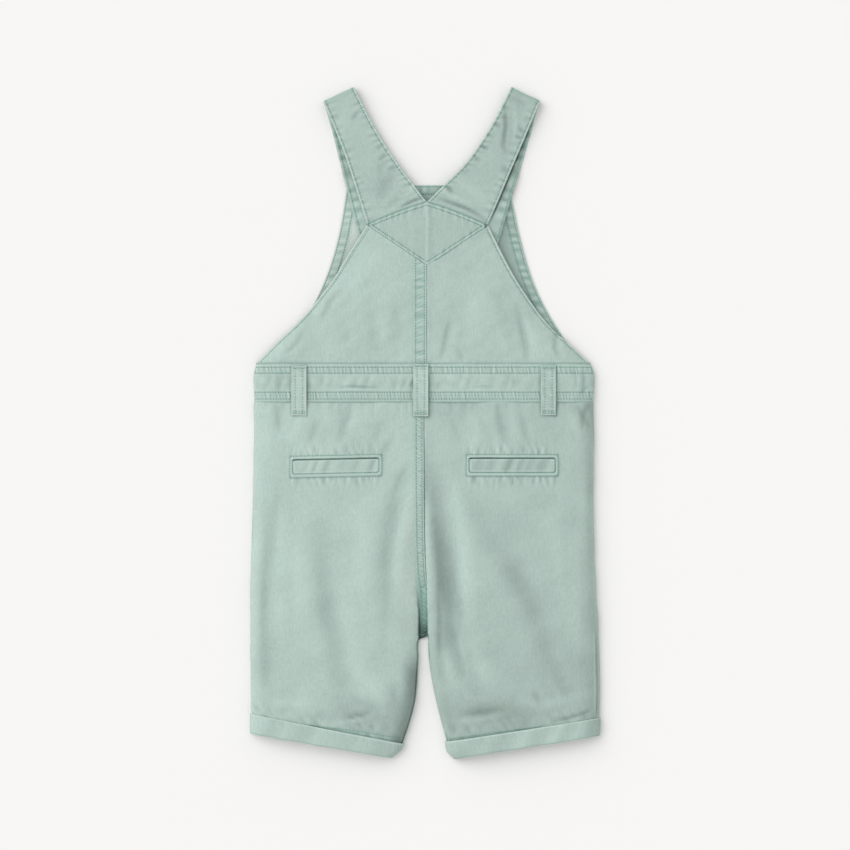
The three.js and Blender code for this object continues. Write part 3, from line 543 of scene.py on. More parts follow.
def drift(x, y, size, seed):
    """Slow unevenness over a surface."""
    draw = np.random.default_rng(seed)
    total = np.zeros_like(x)
    for _ in range(7):
        turn, phase = draw.uniform(0, 2 * np.pi, 2)
        wave = size * draw.uniform(0.7, 1.7)
        total += np.sin(2 * np.pi * (x * np.cos(turn) + y * np.sin(turn)) / wave + phase)
    return total / 4


def edge_roll(distance, radius):
    """1 at an edge, falling round to 0 over the radius."""
    return 1 - round_rise(distance / radius)


def tuck(distance):
    """How far cloth drops where it is turned in past its edge, under its neighbour."""
    return 1.7 * smoothstep(-distance, 0.0, 0.45)


def sewn_edge(distance, along, stitch_row, seed, pucker=1.0):
    """Relief, paleness and depth beside an edge that is folded in and stitched down: a pale crest on the
    fold, partly worn and partly painted highlight, dye in the stitch groove, and painted highlights and shade
    on the puckers.
    """
    groove = bell(distance - stitch_row, 0.6)
    crest = bell(distance - 0.5, 0.42)
    wave = uneven(along, 5.6, seed) * bell(distance - 0.6 * stitch_row, stitch_row)
    rise = 0.14 * crest - 0.26 * groove + 0.26 * pucker * wave - 0.4 * edge_roll(distance, 0.9)
    # Pale crest, partly worn and partly painted highlight, and painted highlights on the pucker crests
    wear_and_painted_light = 0.55 * crest + 0.24 * pucker * crests(wave)
    # Dye in the stitch groove, and painted shade between the puckers
    deep = 0.26 * groove + 0.3 * pucker * dips(wave)
    return rise, wear_and_painted_light, deep


# Surfaces
def strip_edge(row):
    """Where the left leg folds down to the sunk strip of the centre seam above the crotch."""
    return -lerp(7.8, 4.9, smoothstep(row, 3.8, 4.6))


def back_leg_point(side, row, across):
    side_x, side_y, inner_x, inner_y, high, dive, rounded = (curve(row) for curve in LEG[side])
    middle_x = (LEG["left"][2](row) + LEG["right"][2](row)) / 2
    if side == "left":
        middle_x = middle_x + 2.2 * smoothstep(row, 3.5, 4.1)
    inner_x = lerp(inner_x, middle_x, smoothstep(row, SEAM_END + 0.1, SEAM_END))
    x = lerp(side_x, inner_x, across)
    y = lerp(side_y, inner_y, across)
    width = np.abs(inner_x - side_x)
    seam = SIDE_SEAM_Z + GAP / 2
    lift = high - seam
    turn = lift * lift / FOLD_RADIUS
    outward = round_rise(across * width / turn)
    inset = (1 - across) * width
    if side == "left":
        strip = np.maximum(inner_x - strip_edge(row), 0) * smoothstep(row, 3.6, 4.4)
        inset = np.maximum(inset - strip, 0)
    rounded = np.clip(rounded, 0, 1)
    inward = lerp(easy_rise(inset / VALLEY_WIDTH), round_rise(inset / turn), rounded)
    level = outward * (1 - np.clip(dive, 0, 1) * (1 - inward))
    return np.stack((x, y, seam + lift * level + fold_height(x, y) * level * level), -1)


def front_leg_point(side, row, across):
    side_x, side_y, inner_x, inner_y = (curve(row) for curve in LEG[side][:4])
    x = lerp(side_x, inner_x, across)
    y = lerp(side_y, inner_y, across)
    width = np.abs(inner_x - side_x)
    seam = SIDE_SEAM_Z - GAP / 2
    rest = (CLOTH + GAP) * smoothstep(row, CUFF_ROW - 0.8, CUFF_ROW - 0.2)
    outward = 1 - round_rise(across * width / seam)
    inward = smoothstep(row, 4.9, 5.6) * (1 - round_rise((1 - across) * width / seam))
    return np.stack((x, y, lerp(rest, seam, np.maximum(outward, inward))), -1)


def band_point(face, up, across):
    y = lerp(BAND_BOTTOM, BAND_TOP, up)
    left, right = BAND_LEFT(y), BAND_RIGHT(y)
    width = right - left
    seam = SIDE_SEAM_Z + (GAP if face == "back" else -GAP) / 2
    lift = BAND_HIGH - seam if face == "back" else -seam
    turn = lift * lift / FOLD_RADIUS if face == "back" else seam
    level = round_rise(across * width / turn) * round_rise((1 - across) * width / turn)
    return np.stack((lerp(left, right, across), y, seam + lift * level), -1)


def back_height(x, y, left_edge, right_edge):
    inset = np.maximum(0, np.minimum(x - left_edge, right_edge - x))
    q = inset / BACK_CROWN(y)
    level = lerp(round_rise(q), easy_rise(q), np.clip(BACK_STIFF(y), 0, 1))
    return lerp(BACK_EDGE(y), BACK_MIDDLE(y), level) + fold_height(x, y) * level


def bib_point(side, up, across):
    corner = YOKE_LEFT if side == "left" else YOKE_RIGHT
    outward = -1 if side == "left" else 1
    edge_y = lerp(BIB_BOTTOM + ARMHOLE_EASE, corner[1] - GAP, up)
    edge_x = ARMHOLE[side](edge_y)
    seam_x = BIB_SEAM_X + outward * GAP / 2
    seam_y = lerp(BIB_BOTTOM, YOKE_LOW[1] - GAP, up)
    fell_x = seam_x + outward * BIB_FELL_WIDTH
    in_fell = np.maximum(0, across - BIB_FELL_PLACE) / (1 - BIB_FELL_PLACE)
    beside = np.minimum(1, across / BIB_FELL_PLACE)
    x = np.where(across < BIB_FELL_PLACE, lerp(edge_x, fell_x, beside), lerp(fell_x, seam_x, in_fell))
    y = lerp(edge_y, seam_y, (x - edge_x) / (seam_x - edge_x))
    return np.stack((x, y, back_height(x, y, ARMHOLE["left"](y), ARMHOLE["right"](y))), -1)


def yoke_edges(x):
    """Lower and upper edge of the diamond-shaped yoke."""
    left = x < YOKE_LOW[0]
    corner_x = np.where(left, YOKE_LEFT[0], YOKE_RIGHT[0])
    corner_y = np.where(left, YOKE_LEFT[1], YOKE_RIGHT[1])
    run = np.clip((x - corner_x) / (YOKE_LOW[0] - corner_x), 0, 1)
    bow = YOKE_BOW * np.sin(np.pi * run)
    return lerp(corner_y, YOKE_LOW[1], run), lerp(corner_y, YOKE_HIGH_Y, run) + bow


def yoke_point(up, across):
    x = lerp(YOKE_LEFT[0] + YOKE_BLUNT, YOKE_RIGHT[0] - YOKE_BLUNT, across)
    low, high = yoke_edges(x)
    past = np.minimum(up, 0) + np.maximum(up - 1, 0)
    y = lerp(low, high - GAP, np.clip(up, 0, 1)) + past * YOKE_TALL
    return np.stack((x, y, back_height(x, y, YOKE_LEFT[0], YOKE_RIGHT[0]) + YOKE_RAISE), -1)


def button_lift(x, y):
    """How far a button under the front bib lifts the layers above it."""
    lifts = [
        BUTTON_LIFT * (1 - smoothstep(np.hypot(x - at_x, y - at_y), *LIFT_RADII))
        for at_x, at_y in BUTTON_PLACES.values()
    ]
    return np.maximum(*lifts)


def front_bib_point(up, across):
    y = lerp(BIB_BOTTOM, FRONT_BIB_TOP, up)
    x = lerp(FRONT_LEFT(y), FRONT_RIGHT(y), across)
    return np.stack((x, y, CLOTH + button_lift(x, y)), -1)


def strap_point(side, along, across):
    """Outside of a strap, from the yoke over the shoulder fold to the strap end, out from its outer edge."""
    back_run, front_run = STRAP_RUNS[side]

    def edge_point(run, row):
        outer_x, outer_y, inner_x, inner_y = (curve(row) for curve in run)
        return lerp(outer_x, inner_x, across), lerp(outer_y, inner_y, across)

    x, y = edge_point(back_run, np.minimum(along, STRAP_FOLD))
    y = y + YOKE_BOW * np.sin(np.pi * across) * (1 - smoothstep(along, 0, 1))
    sewn = back_height(x, y, YOKE_LEFT[0], YOKE_RIGHT[0])
    free = BACK_MIDDLE(y) - 0.4 * np.abs(across - 0.5)
    z = lerp(sewn, free, smoothstep(along, 0, 2))

    last = STRAP_BACK[side][STRAP_FOLD]
    away = np.array((last[2] - last[4], last[3] - last[1]))
    away = away / np.linalg.norm(away) * (1 if away[1] > 0 else -1)
    angle = np.pi * np.clip((along - STRAP_FOLD) / STRAP_FOLD_SPAN, 0, 1)
    folding = along > STRAP_FOLD
    reach = SHOULDER_RADIUS * np.sin(angle)
    z = np.where(folding, SHOULDER_RADIUS + SHOULDER_RADIUS * np.cos(angle), z)
    x = x + np.where(folding, away[0] * reach, 0)
    y = y + np.where(folding, away[1] * reach, 0)

    front_x, front_y = edge_point(front_run, np.clip(along - STRAP_FOLD - STRAP_FOLD_SPAN, 0, 5))
    on_bib = CLOTH + FRONT_HEM_RAISE + GAP
    past_bib = smoothstep(front_y, FRONT_BIB_TOP + 2, FRONT_BIB_TOP + 20)
    under = on_bib * (1 - past_bib) + button_lift(front_x, front_y)
    in_front = along >= STRAP_FOLD + STRAP_FOLD_SPAN
    pairs = ((front_x, x), (front_y, y), (under, z))
    return np.stack([np.where(in_front, front, back) for front, back in pairs], -1)


def strap_width(side, along):
    """Distance between the edges of a strap down the back, square to them."""
    on_back = np.minimum(along, STRAP_FOLD)
    outer_x, outer_y, inner_x, inner_y = (curve(on_back) for curve in STRAP_RUNS[side][0])
    return np.hypot(inner_x - outer_x, inner_y - outer_y) * STRAP_SLOPE


def strap_weave(along, across):
    """The weave runs along the strap."""
    return np.stack((across * STRAP_WIDE, along * STRAP_ROW), -1)


def loop_point(name, up, across):
    """Outside of a belt loop."""
    centre, bottom, top = LOOPS[name]
    over_fell = FELL_HEIGHT if name == "centre" else 0
    y = lerp(bottom, top, up)
    x = centre + LOOP_WIDTH * (across - 0.5)
    on_leg = LEG["left"][4](0) + over_fell
    under = lerp(on_leg, BAND_HIGH, smoothstep(y, BAND_BOTTOM - 9, BAND_BOTTOM - 1))
    bulge = LOOP_BULGE * np.sin(np.pi * up) ** 2
    return np.stack((x, y, under + over_fell + GAP + bulge + LOOP_CLOTH), -1)


def place_on_leg(side, x, y):
    """Row and place across at which a back leg passes through x, y."""
    side_x, side_y, inner_x, inner_y = LEG[side][:4]
    above = np.zeros_like(x)
    below = np.full_like(x, HEM_ROW)
    for _ in range(26):
        middle = (above + below) / 2
        across = (x - side_x(middle)) / (inner_x(middle) - side_x(middle))
        lower = lerp(side_y(middle), inner_y(middle), across) > y
        above = np.where(lower, middle, above)
        below = np.where(lower, below, middle)
    return above, (x - side_x(above)) / (inner_x(above) - side_x(above))


class Cloth:
    """A surface of cloth with its relief. Its outside faces up, or down, at the test place."""

    def __init__(self, point, dress=None, up=True, rows=1, test=(0.5, 0.5)):
        self.point = point
        self.dress = dress
        self.rows = rows
        self.facing = 1
        out = self.out(np.array([test[0]], dtype=float), np.array([test[1]], dtype=float))
        self.facing = 1 if (out[0, 2] > 0) == up else -1

    def out(self, u, v):
        dv = 1e-4
        du = self.rows * dv
        along_u = self.point(np.clip(u + du, 0, self.rows), v) - self.point(np.clip(u - du, 0, self.rows), v)
        along_v = self.point(u, np.clip(v + dv, 0, 1)) - self.point(u, np.clip(v - dv, 0, 1))
        out = np.cross(along_u, along_v)
        length = np.linalg.norm(out, axis=-1, keepdims=True)
        return self.facing * out / np.maximum(length, 1e-12)

    def laid(self, u, v, over=0.0):
        """Places on the dressed surface, none of them below the floor, the direction out, worn paleness with
        painted light, and depth of dye with painted shade.
        """
        base = self.point(u, v)
        out = self.out(u, v)
        rise, wear_and_painted_light, deep = self.dress(u, v, base[..., 0], base[..., 1])
        placed = base + out * (rise + over)[..., None]
        placed[..., 2] = np.maximum(placed[..., 2], 0)
        return placed, out, wear_and_painted_light, deep


def leg_cloth(face, side, dress=None):
    """The back or the front panel of a leg."""
    point = back_leg_point if face == "back" else front_leg_point
    return Cloth(partial(point, side), dress, up=face == "back", rows=HEM_ROW, test=(1, 0.5))


def run_lengths(points):
    """How far along a line of points each of them is."""
    return np.concatenate(([0], np.cumsum(np.linalg.norm(np.diff(points, axis=0), axis=1))))


def cuff_path():
    """Rows down a cuff, distances out of the leg there, and the share of the way at which each is reached."""
    outer = GAP + CLOTH
    path = [(CUFF_ROW, outer)]
    for turn in np.linspace(0, math.pi / 2, 5):
        short, low = CUFF_BEVEL * (1 - math.sin(turn)), CUFF_BEVEL * (1 - math.cos(turn))
        path.append((HEM_ROW - short / CUFF_HEIGHT, outer - low))
    rows, outs = np.array([*path, (HEM_ROW, 0.0), (HEM_ROW - 0.02, -CLOTH)]).T
    lengths = run_lengths(np.stack((rows * CUFF_HEIGHT, outs), -1))
    return rows, outs, lengths / lengths[-1]


CUFF_ROWS, CUFF_OUTS, CUFF_PLACES = cuff_path()


def cuff_point(leg, place, across):
    """Outside of a turned-up cuff, from its top over the bevelled lower edge to the inside of the leg."""
    row = np.interp(place, CUFF_PLACES, CUFF_ROWS)
    out = np.interp(place, CUFF_PLACES, CUFF_OUTS)
    return leg.point(row, across) + leg.out(row, across) * out[..., None]


def welt_point(side, leg, up, across):
    """Outside of a welt, a little above the leg and tucked in behind the edges of its window."""
    centre_x, centre_y, tilt = WELTS[side]
    along = (WELT_LENGTH + 1.2) * (across - 0.5)
    above = lerp(-WELT_WIDTH / 2 - 0.6, WELT_WIDTH / 2 - 0.4, up)
    row, across = place_on_leg(side, centre_x + along, centre_y + above + tilt * along)
    return leg.point(row, across) + leg.out(row, across) * 0.5


def stations(length, step, marks=(), fine=0.45):
    """Places along a length, close together at both ends and round the marks, each a place and a reach."""
    places = set(np.linspace(0, length, max(2, round(length / step)) + 1).round(4))
    marks = [*marks, (0, 3.0), (length, 3.0)]
    for at, reach in marks:
        places = {p for p in places if abs(p - at) > reach or p in (0, round(length, 4))}
    for at, reach in marks:
        places |= set(np.clip(np.arange(at - reach, at + reach + 1e-6, fine), 0, length).round(4))
    places = sorted(places | {0, round(length, 4)})
    kept = [places[0]]
    for place in places[1:-1]:
        if place - kept[-1] > 0.5 * fine and places[-1] - place > 0.5 * fine:
            kept.append(place)
    return np.array([*kept, places[-1]])


def shares(length, *spacing, **fineness):
    """The stations as shares of the length."""
    return stations(length, *spacing, **fineness) / length


def tucked(places, length, both=True):
    """Places with a few past the end, and past the start, for cloth that turns in under its neighbour."""
    past = np.array((0.2, 0.45, 1.1)) / length
    start = -past[::-1] if both else np.empty(0)
    return np.concatenate((start, places, 1 + past))


def by_length(curve_point, start, end, step, marks=()):
    """Places from start to end, evenly spaced in millimetres along a line on the surface."""
    dense = np.linspace(start, end, 1200)
    points = curve_point(dense)
    lengths = run_lengths(points)
    return np.interp(stations(lengths[-1], step, marks), lengths, dense)


def down_leg(side, step, marks=()):
    """Rows of a leg panel, evenly spaced down its side edge."""
    return by_length(lambda row: np.stack((LEG[side][1](row), 0 * row, 0 * row), -1), 0, LEG_END, step, marks)


def to_mesh(bm, name):
    """The mesh of a bmesh, which is freed."""
    mesh = bpy.data.meshes.new(name)
    bm.to_mesh(mesh)
    bm.free()
    return mesh


def grid_mesh(name, rows, cols):
    """A flat grid made by Blender, and the row and column of each of its points."""
    bm = bmesh.new()
    bmesh.ops.create_grid(bm, x_segments=rows - 1, y_segments=cols - 1, size=0.5)
    mesh = to_mesh(bm, name)
    flat = np.empty(len(mesh.vertices) * 3)
    mesh.vertices.foreach_get("co", flat)
    row, col = np.rint((flat.reshape(-1, 3)[:, :2] + 0.5) * (rows - 1, cols - 1)).astype(int).T
    return mesh, row, col


def add_object(mesh, materials=()):
    made = bpy.data.objects.new(mesh.name, mesh)
    bpy.context.scene.collection.objects.link(made)
    for material in materials:
        mesh.materials.append(material)
    mesh.polygons.foreach_set("use_smooth", [True] * len(mesh.polygons))
    return made


def dress_mesh(mesh, points, pattern, wear_and_painted_light, deep):
    """Moves a grid's points onto the cloth, and gives them their place in the weave, their worn paleness with
    painted highlights and painted shade, and their depth of dye with painted shade.
    """
    mesh.vertices.foreach_set("co", (points * MM).ravel())
    loops = np.empty(len(mesh.loops), dtype=int)
    mesh.loops.foreach_get("vertex_index", loops)
    layer = mesh.uv_layers.new(name="Weave")
    layer.data.foreach_set("uv", (pattern * MM)[loops].ravel())
    # Worn paleness with painted highlights, and painted shade below 0; then seam dye with painted shade
    for name, values, least in (("wear_and_painted_light", wear_and_painted_light, -1), ("deep", deep, 0)):
        attribute = mesh.attributes.new(name, "FLOAT", "POINT")
        attribute.data.foreach_set("value", np.clip(values, least, 1))
    mesh.update()


def panel(name, cloth, us, vs, thick, materials, nodes, pattern=None, **declared):
    """A panel of cloth with its wall behind it, riding on the part in place of its solids."""
    mesh, row, col = grid_mesh(name, len(us), len(vs))
    u, v = us[row], vs[col]
    points, out, wear_and_painted_light, deep = cloth.laid(u, v)
    weave = points[:, :2] if pattern is None else pattern(u, v)
    # Each panel's painted shade, or painted light where it is negative, is taken off its paleness
    dress_mesh(mesh, points, weave, wear_and_painted_light - PAINTED_PANEL_SHADE.get(name, 0), deep)
    middle = np.empty(len(mesh.vertices) * 3)
    mesh.vertex_normals.foreach_get("vector", middle)
    if (middle.reshape(-1, 3) * out).sum() < 0:
        mesh.flip_normals()
    made = add_object(mesh, materials)
    wall = made.modifiers.new("Wall", "SOLIDIFY")
    wall.thickness = thick * MM
    wall.offset = -1
    wall.material_offset = len(materials) - 1
    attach(made, "root")
    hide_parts(*nodes)
    declare(made, cloth, us, vs, **declared)
    return made


def declare(made, cloth, us, vs, rests_on, with_pieces=()):
    """Works out the points of the cloth's smooth surface in metres; nothing further is done with them."""
    grid_u, grid_v = np.meshgrid(us, vs, indexing="ij")
    points = cloth.point(grid_u, grid_v) * MM


def stitch_row(cloth, u, v, pitch, length, under):
    """Ends of each stitch along a line on the cloth, and the way out, turned round under the cloth."""
    u, v = (np.asarray(line, dtype=float) for line in np.broadcast_arrays(u, v))
    dense = np.linspace(0, 1, 900)
    own = np.linspace(0, 1, len(u))
    u, v = np.interp(dense, own, u), np.interp(dense, own, v)
    points, out, _, _ = cloth.laid(u, v, over=-under)
    out = out if under == 0 else -out
    lengths = run_lengths(points)
    count = max(1, int(lengths[-1] / pitch))

    def at(place, values):
        return np.array([np.interp(place, lengths, values[:, axis]) for axis in range(3)])

    half = length / 2
    middles = (np.arange(count) + 0.5) * lengths[-1] / count
    return [(at(middle - half, points), at(middle + half, points), at(middle, out)) for middle in middles]


def stitches(name, rows, settings, material):
    """One piece from rows of stitches, each a small rounded thread pulled down into the cloth."""
    thick = settings.thread_radius
    whole = bmesh.new()
    for spots in rows:
        bm = bmesh.new()
        for start, end, normal in spots:
            along = Vector(end - start)
            way = along.normalized()
            out = Vector(normal)
            out = (out - way * out.dot(way)).normalized()
            centre = Vector((start + end) / 2) + out * thick * 0.45 / MM
            turn = Matrix((way.cross(out), out, way)).transposed().to_4x4()
            size = Matrix.Diagonal((thick, thick * 0.8, along.length * MM / 2, 1))
            bmesh.ops.create_uvsphere(
                bm, u_segments=6, v_segments=4, radius=1, matrix=Matrix.Translation(centre * MM) @ turn @ size
            )
        row = to_mesh(bm, "row")
        whole.from_mesh(row)
        bpy.data.meshes.remove(row)
    made = add_object(to_mesh(whole, name), [material])
    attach(made, "root")
    return made


# Finishes
class Finish:
    """A material and the nodes that give it its look."""

    def __init__(self, name, looks):
        self.material = bpy.data.materials.new(name)
        self.material.use_nodes = True
        self.sockets = self.material.node_tree.nodes["Principled BSDF"].inputs
        for socket, value in looks.items():
            self.sockets[socket].default_value = value

    def link(self, output, socket):
        self.material.node_tree.links.new(output, socket)

    def add(self, kind, values=None, **linked):
        """A new node, with values on some of its sockets and links to others."""
        node = self.material.node_tree.nodes.new("ShaderNode" + kind)
        for socket, value in (values or {}).items():
            node.inputs[socket].default_value = value
        for socket, output in linked.items():
            self.link(output, node.inputs[socket])
        return node

    def place(self):
        return self.add("TexCoord").outputs["Object"]

    def mix(self, factor, first, second):
        node = self.add("Mix")
        node.data_type = "RGBA"
        for socket, value in ((node.inputs[6], first), (node.inputs[7], second)):
            if isinstance(value, bpy.types.NodeSocket):
                self.link(value, socket)
            else:
                socket.default_value = (*value, 1)
        self.link(factor, node.inputs[0])
        return node.outputs[2]

    def ranged(self, value, low, high, to_low, to_high):
        limits = {"From Min": low, "From Max": high, "To Min": to_low, "To Max": to_high}
        return self.add("MapRange", limits, Value=value).outputs["Result"]

    def noise(self, vector, scale, detail, stretch=None):
        if stretch is not None:
            vector = self.add("Mapping", {"Scale": stretch}, Vector=vector).outputs["Vector"]
        return self.add("TexNoise", {"Scale": scale, "Detail": detail}, Vector=vector).outputs["Fac"]


def twill(name, colour, settings, weave=1.0):
    """Washed cotton twill: fine diagonal ribs, slubs, cloudy dye, pale worn edges and darker seams, with
    painted shade in creases and hollows and painted highlights on ridges.
    """
    looks = {"Roughness": 0.92, "Specular IOR Level": 0.2, "Sheen Weight": 0.12, "Sheen Roughness": 0.5}
    finish = Finish(name, looks)
    pattern = finish.add("UVMap")
    pattern.uv_map = "Weave"
    flat = pattern.outputs["UV"]

    cloud = finish.noise(finish.place(), 24, 4)
    grain = finish.noise(flat, 640, 3, (1, 0.6, 1))
    slub = finish.noise(flat, 760, 1, (1, 0.16, 1))
    colour = np.array(colour)
    tone = finish.mix(finish.ranged(cloud, 0.3, 0.7, 0, 1), colour * 0.94, colour * 1.06)
    tone = finish.mix(finish.ranged(grain, 0.35, 0.75, 0, 0.34), tone, colour * 1.32)
    tone = finish.mix(finish.ranged(slub, 0.6, 0.32, 0, 0.12), tone, colour * 0.6)
    # From the mesh attributes: seam dye and painted shade toward the seam colour, worn paleness and painted
    # highlights toward the pale colour, and painted shade toward black below 0
    painted = (("deep", 1, settings.seam_and_shade_colour), ("wear_and_painted_light", 1, settings.worn_and_highlight_colour), ("wear_and_painted_light", -1, (0, 0, 0)))
    for attribute, full, target in painted:
        reader = finish.add("Attribute")
        reader.attribute_name = attribute
        tone = finish.mix(finish.ranged(reader.outputs["Fac"], 0, full, 0, 0.8), tone, target)
    finish.link(tone, finish.sockets["Base Color"])

    ribs = finish.add("TexWave", {"Scale": 420, "Distortion": 1.2, "Detail": 1}, Vector=flat)
    ribs.bands_direction = "DIAGONAL"
    ribbed = finish.add("Bump", {"Strength": 0.35 * weave, "Distance": 0.00012}, Height=ribs.outputs["Fac"])
    normal = ribbed.outputs["Normal"]
    grained = finish.add("Bump", {"Strength": 0.5, "Distance": 0.0004}, Height=grain, Normal=normal)
    finish.link(grained.outputs["Normal"], finish.sockets["Normal"])


def thread_finish(settings):
    """Spun sewing thread."""
    finish = Finish("Thread", {"Roughness": 0.8, "Sheen Weight": 0.1})
    fleck = finish.noise(finish.place(), 1400, 1)
    colour = np.array(settings.thread_colour)
    finish.link(finish.mix(fleck, colour * 0.8, colour * 1.2), finish.sockets["Base Color"])


def button_finish(settings):
    """Dull moulded plastic with a little cloudiness."""
    finish = Finish("Button plastic", {})
    place = finish.place()
    colour = np.array(settings.button_colour)
    tone = finish.mix(finish.noise(place, 180, 2), colour * 0.9, np.minimum(colour * 1.1, 1))
    finish.link(tone, finish.sockets["Base Color"])
    finish.link(finish.ranged(finish.noise(place, 900, 1), 0.3, 0.7, 0.42, 0.58), finish.sockets["Roughness"])


def finishes(settings):
    """The finishes, made once."""
    if "Twill" not in bpy.data.materials:
        twill("Twill", settings.cloth_colour, settings)
        twill("Twill inside", settings.inside_colour, settings, weave=0.6)
        thread_finish(settings)
        button_finish(settings)
    return bpy.data.materials


# Dressing of each panel: how far the cloth rises, its worn paleness with painted highlights, which is painted
# shade below 0, and its depth of dye in seams, with painted shade in hollows
def welt_box(side, x, y):
    """Place in a pocket's own directions: from its middle, along it and up it."""
    centre_x, centre_y, tilt = WELTS[side]
    along = x - centre_x
    return along, y - centre_y - tilt * along


def box_distance(along, up, half_x, half_y, corner):
    """Distance out of a box with rounded corners."""
    past_x, past_y = np.abs(along) - half_x + corner, np.abs(up) - half_y + corner
    within = np.minimum(np.maximum(past_x, past_y), 0)
    return np.hypot(crests(past_x), crests(past_y)) + within - corner


def painted_loop_shadow(x, y):
    """1 beside the belt loops, most of all on their right sides and at their lower ends: painted shadow of
    the loops on the cloth.
    """
    nearness = np.zeros_like(x)
    for centre, bottom, top in LOOPS.values():
        away = box_distance(x - centre, y - (bottom + top) / 2, LOOP_WIDTH / 2, (top - bottom) / 2, 0.6)
        strength = lerp(0.3, 1, smoothstep(x - centre, -3, 5))
        strength = strength * lerp(1, 0.7, smoothstep(y, bottom, bottom + 9))
        nearness = np.maximum(nearness, bell(crests(away), 1.3) * strength)
    return nearness


def dress_back_leg(side, row, across, x, y):
    width = np.abs(LEG[side][2](row) - LEG[side][0](row))
    to_inner = (1 - across) * width
    to_top = LEG_TOP - y
    rise, trough, ridge = crease_marks(x, y, LEG_CREASES[side])
    # Painted highlight on the crease ridges and painted shade in their troughs
    wear_and_painted_light = 0.16 * ridge - 0.2 * trough
    deep = np.zeros_like(x)
    rise += 0.5 * drift(x, y, 52, 3) + 0.26 * drift(x, y, 17, 4) + 0.09 * drift(x, y, 8, 5)
    wear_and_painted_light += 0.035 * drift(x, y, 24, 6)
    if side == "right":
        # Painted shade in the big trough right of the centre seam
        beyond_ridge = x - lerp(3.4, 7.2, smoothstep(-y, 30, 130))
        lower = smoothstep(-y, 40, 150)
        far_side = smoothstep(beyond_ridge, lerp(10, 24, lower), lerp(4, 11, lower))
        shaded = smoothstep(beyond_ridge, 0, 3) * far_side * lower * smoothstep(-y, 205, 165)
        wear_and_painted_light -= 0.26 * shaded
        deep += 0.1 * shaded
        # Painted shade, darker towards the leg's right side, away from the light
        wear_and_painted_light -= 0.04 * smoothstep(x, 16, 90) + 0.15 * smoothstep(x, 120, 134)
        to_side = across * width
        # A painted dark line and a painted highlight where the side rolls under, and a pale painted line
        # along the side edge
        turned = 0.2 * bell(to_side - 4, 0.8) - 0.35 * bell(to_side - 2.2, 0.7)
        wear_and_painted_light += turned * smoothstep(-y, 160, 180) * smoothstep(-y, 238, 228)
        wear_and_painted_light += 0.2 * bell(to_side, 2.4) * smoothstep(-y, 0, 30)
        # Painted shade near the side edge and over the lower leg
        wear_and_painted_light -= 0.1 * bell(to_side - 7, 3) * smoothstep(-y, 60, 90) * smoothstep(-y, 180, 150)
        wear_and_painted_light -= 0.05 * smoothstep(-y, 150, 210)

    gathers = uneven(x, 9, 2.0 if side == "left" else 5.0) * bell(to_top, 9) * smoothstep(to_top, 0, 4)
    rise += 0.4 * gathers - 0.3 * edge_roll(to_top, 0.8) + 0.2 * bell(to_top, 5)
    # A dark seam line under the waistband, partly painted shadow, and painted shadow beside the belt loops
    deep += 0.5 * bell(to_top, 0.6) + 0.75 * painted_loop_shadow(x, y)
    # Painted shade between the gathers
    wear_and_painted_light -= 0.12 * dips(gathers)

    if side == "left":
        held = smoothstep(y, -175, -171)
        inside = smoothstep(to_inner, LEG_FELL_WIDTH + 0.3, LEG_FELL_WIDTH - 0.3) * held
        hatch = uneven(y + 0.6 * to_inner, 2.5, 1.0) + 0.6 * uneven(y - 0.5 * to_inner, 3.6, 5.0)
        ladder = 0.8 * hatch * bell(to_inner - 3.8, 2.9) * held
        rise += FELL_HEIGHT * inside + 0.2 * ladder * inside
        # A dark line beside the fell, and painted shade between the puckers of its ladder
        deep += held * (0.3 * bell(to_inner - LEG_FELL_WIDTH - 0.3, 0.6) + 0.9 * dips(ladder))
        deep += 0.1 * inside
        # A pale line on the fold, and painted highlights on the pucker crests
        wear_and_painted_light += held * (0.3 * bell(to_inner - 0.7, 0.5) + 0.42 * crests(ladder))
        for at in LEG_FELL_ROWS:
            deep += held * 0.2 * bell(to_inner - at, 0.7)
            rise -= held * 0.2 * bell(to_inner - at, 0.7)
        beside = uneven(y, 6.2, 4.0) * bell(to_inner - LEG_FELL_WIDTH - 3, 3) * held
        from_fold = x - strip_edge(row)
        above_crotch = smoothstep(row, FREE_ROW, FREE_ROW - 0.04)
        sunk = smoothstep(from_fold, -0.6, 0.6) * above_crotch
        rise -= 0.9 * sunk * smoothstep(-y, 120, 150)
        # Painted shade in the sunk strip, darkest near the crotch, and a painted dark line along its fold
        deep += 0.72 * smoothstep(-y, 110, 160) * sunk
        wear_and_painted_light -= sunk * (0.25 * smoothstep(-y, 125, 150) + 0.75 * smoothstep(-y, 152, 172))
        wear_and_painted_light -= 0.7 * above_crotch * bell(from_fold, 0.8) * smoothstep(-y, 138, 156)
        free = smoothstep(row, FREE_ROW - 0.04, FREE_ROW + 0.04)
        turning = smoothstep(to_inner, 16, 4) * smoothstep(-y, 178, 204)
        # Painted shade along the inner edge below the crotch, where the leg turns away
        wear_and_painted_light -= free * (0.9 * bell(to_inner, 1.2) + 0.56 * turning)
        # Painted light beside the fold, and painted shade in the trough and over the lower leg
        wear_and_painted_light += 0.1 * above_crotch * bell(from_fold + 8, 7) * smoothstep(-y, 105, 130)
        from_trough = across * width - lerp(23, 13, smoothstep(-y, 110, 225))
        wear_and_painted_light -= 0.12 * bell(from_trough, 6) * smoothstep(-y, 80, 130)
        wear_and_painted_light -= 0.03 * smoothstep(-y, 150, 210)
    else:
        beside = uneven(y, 6.2, 7.0) * bell(to_inner - 2, 4) * (1 - smoothstep(row, 4.0, 4.8))
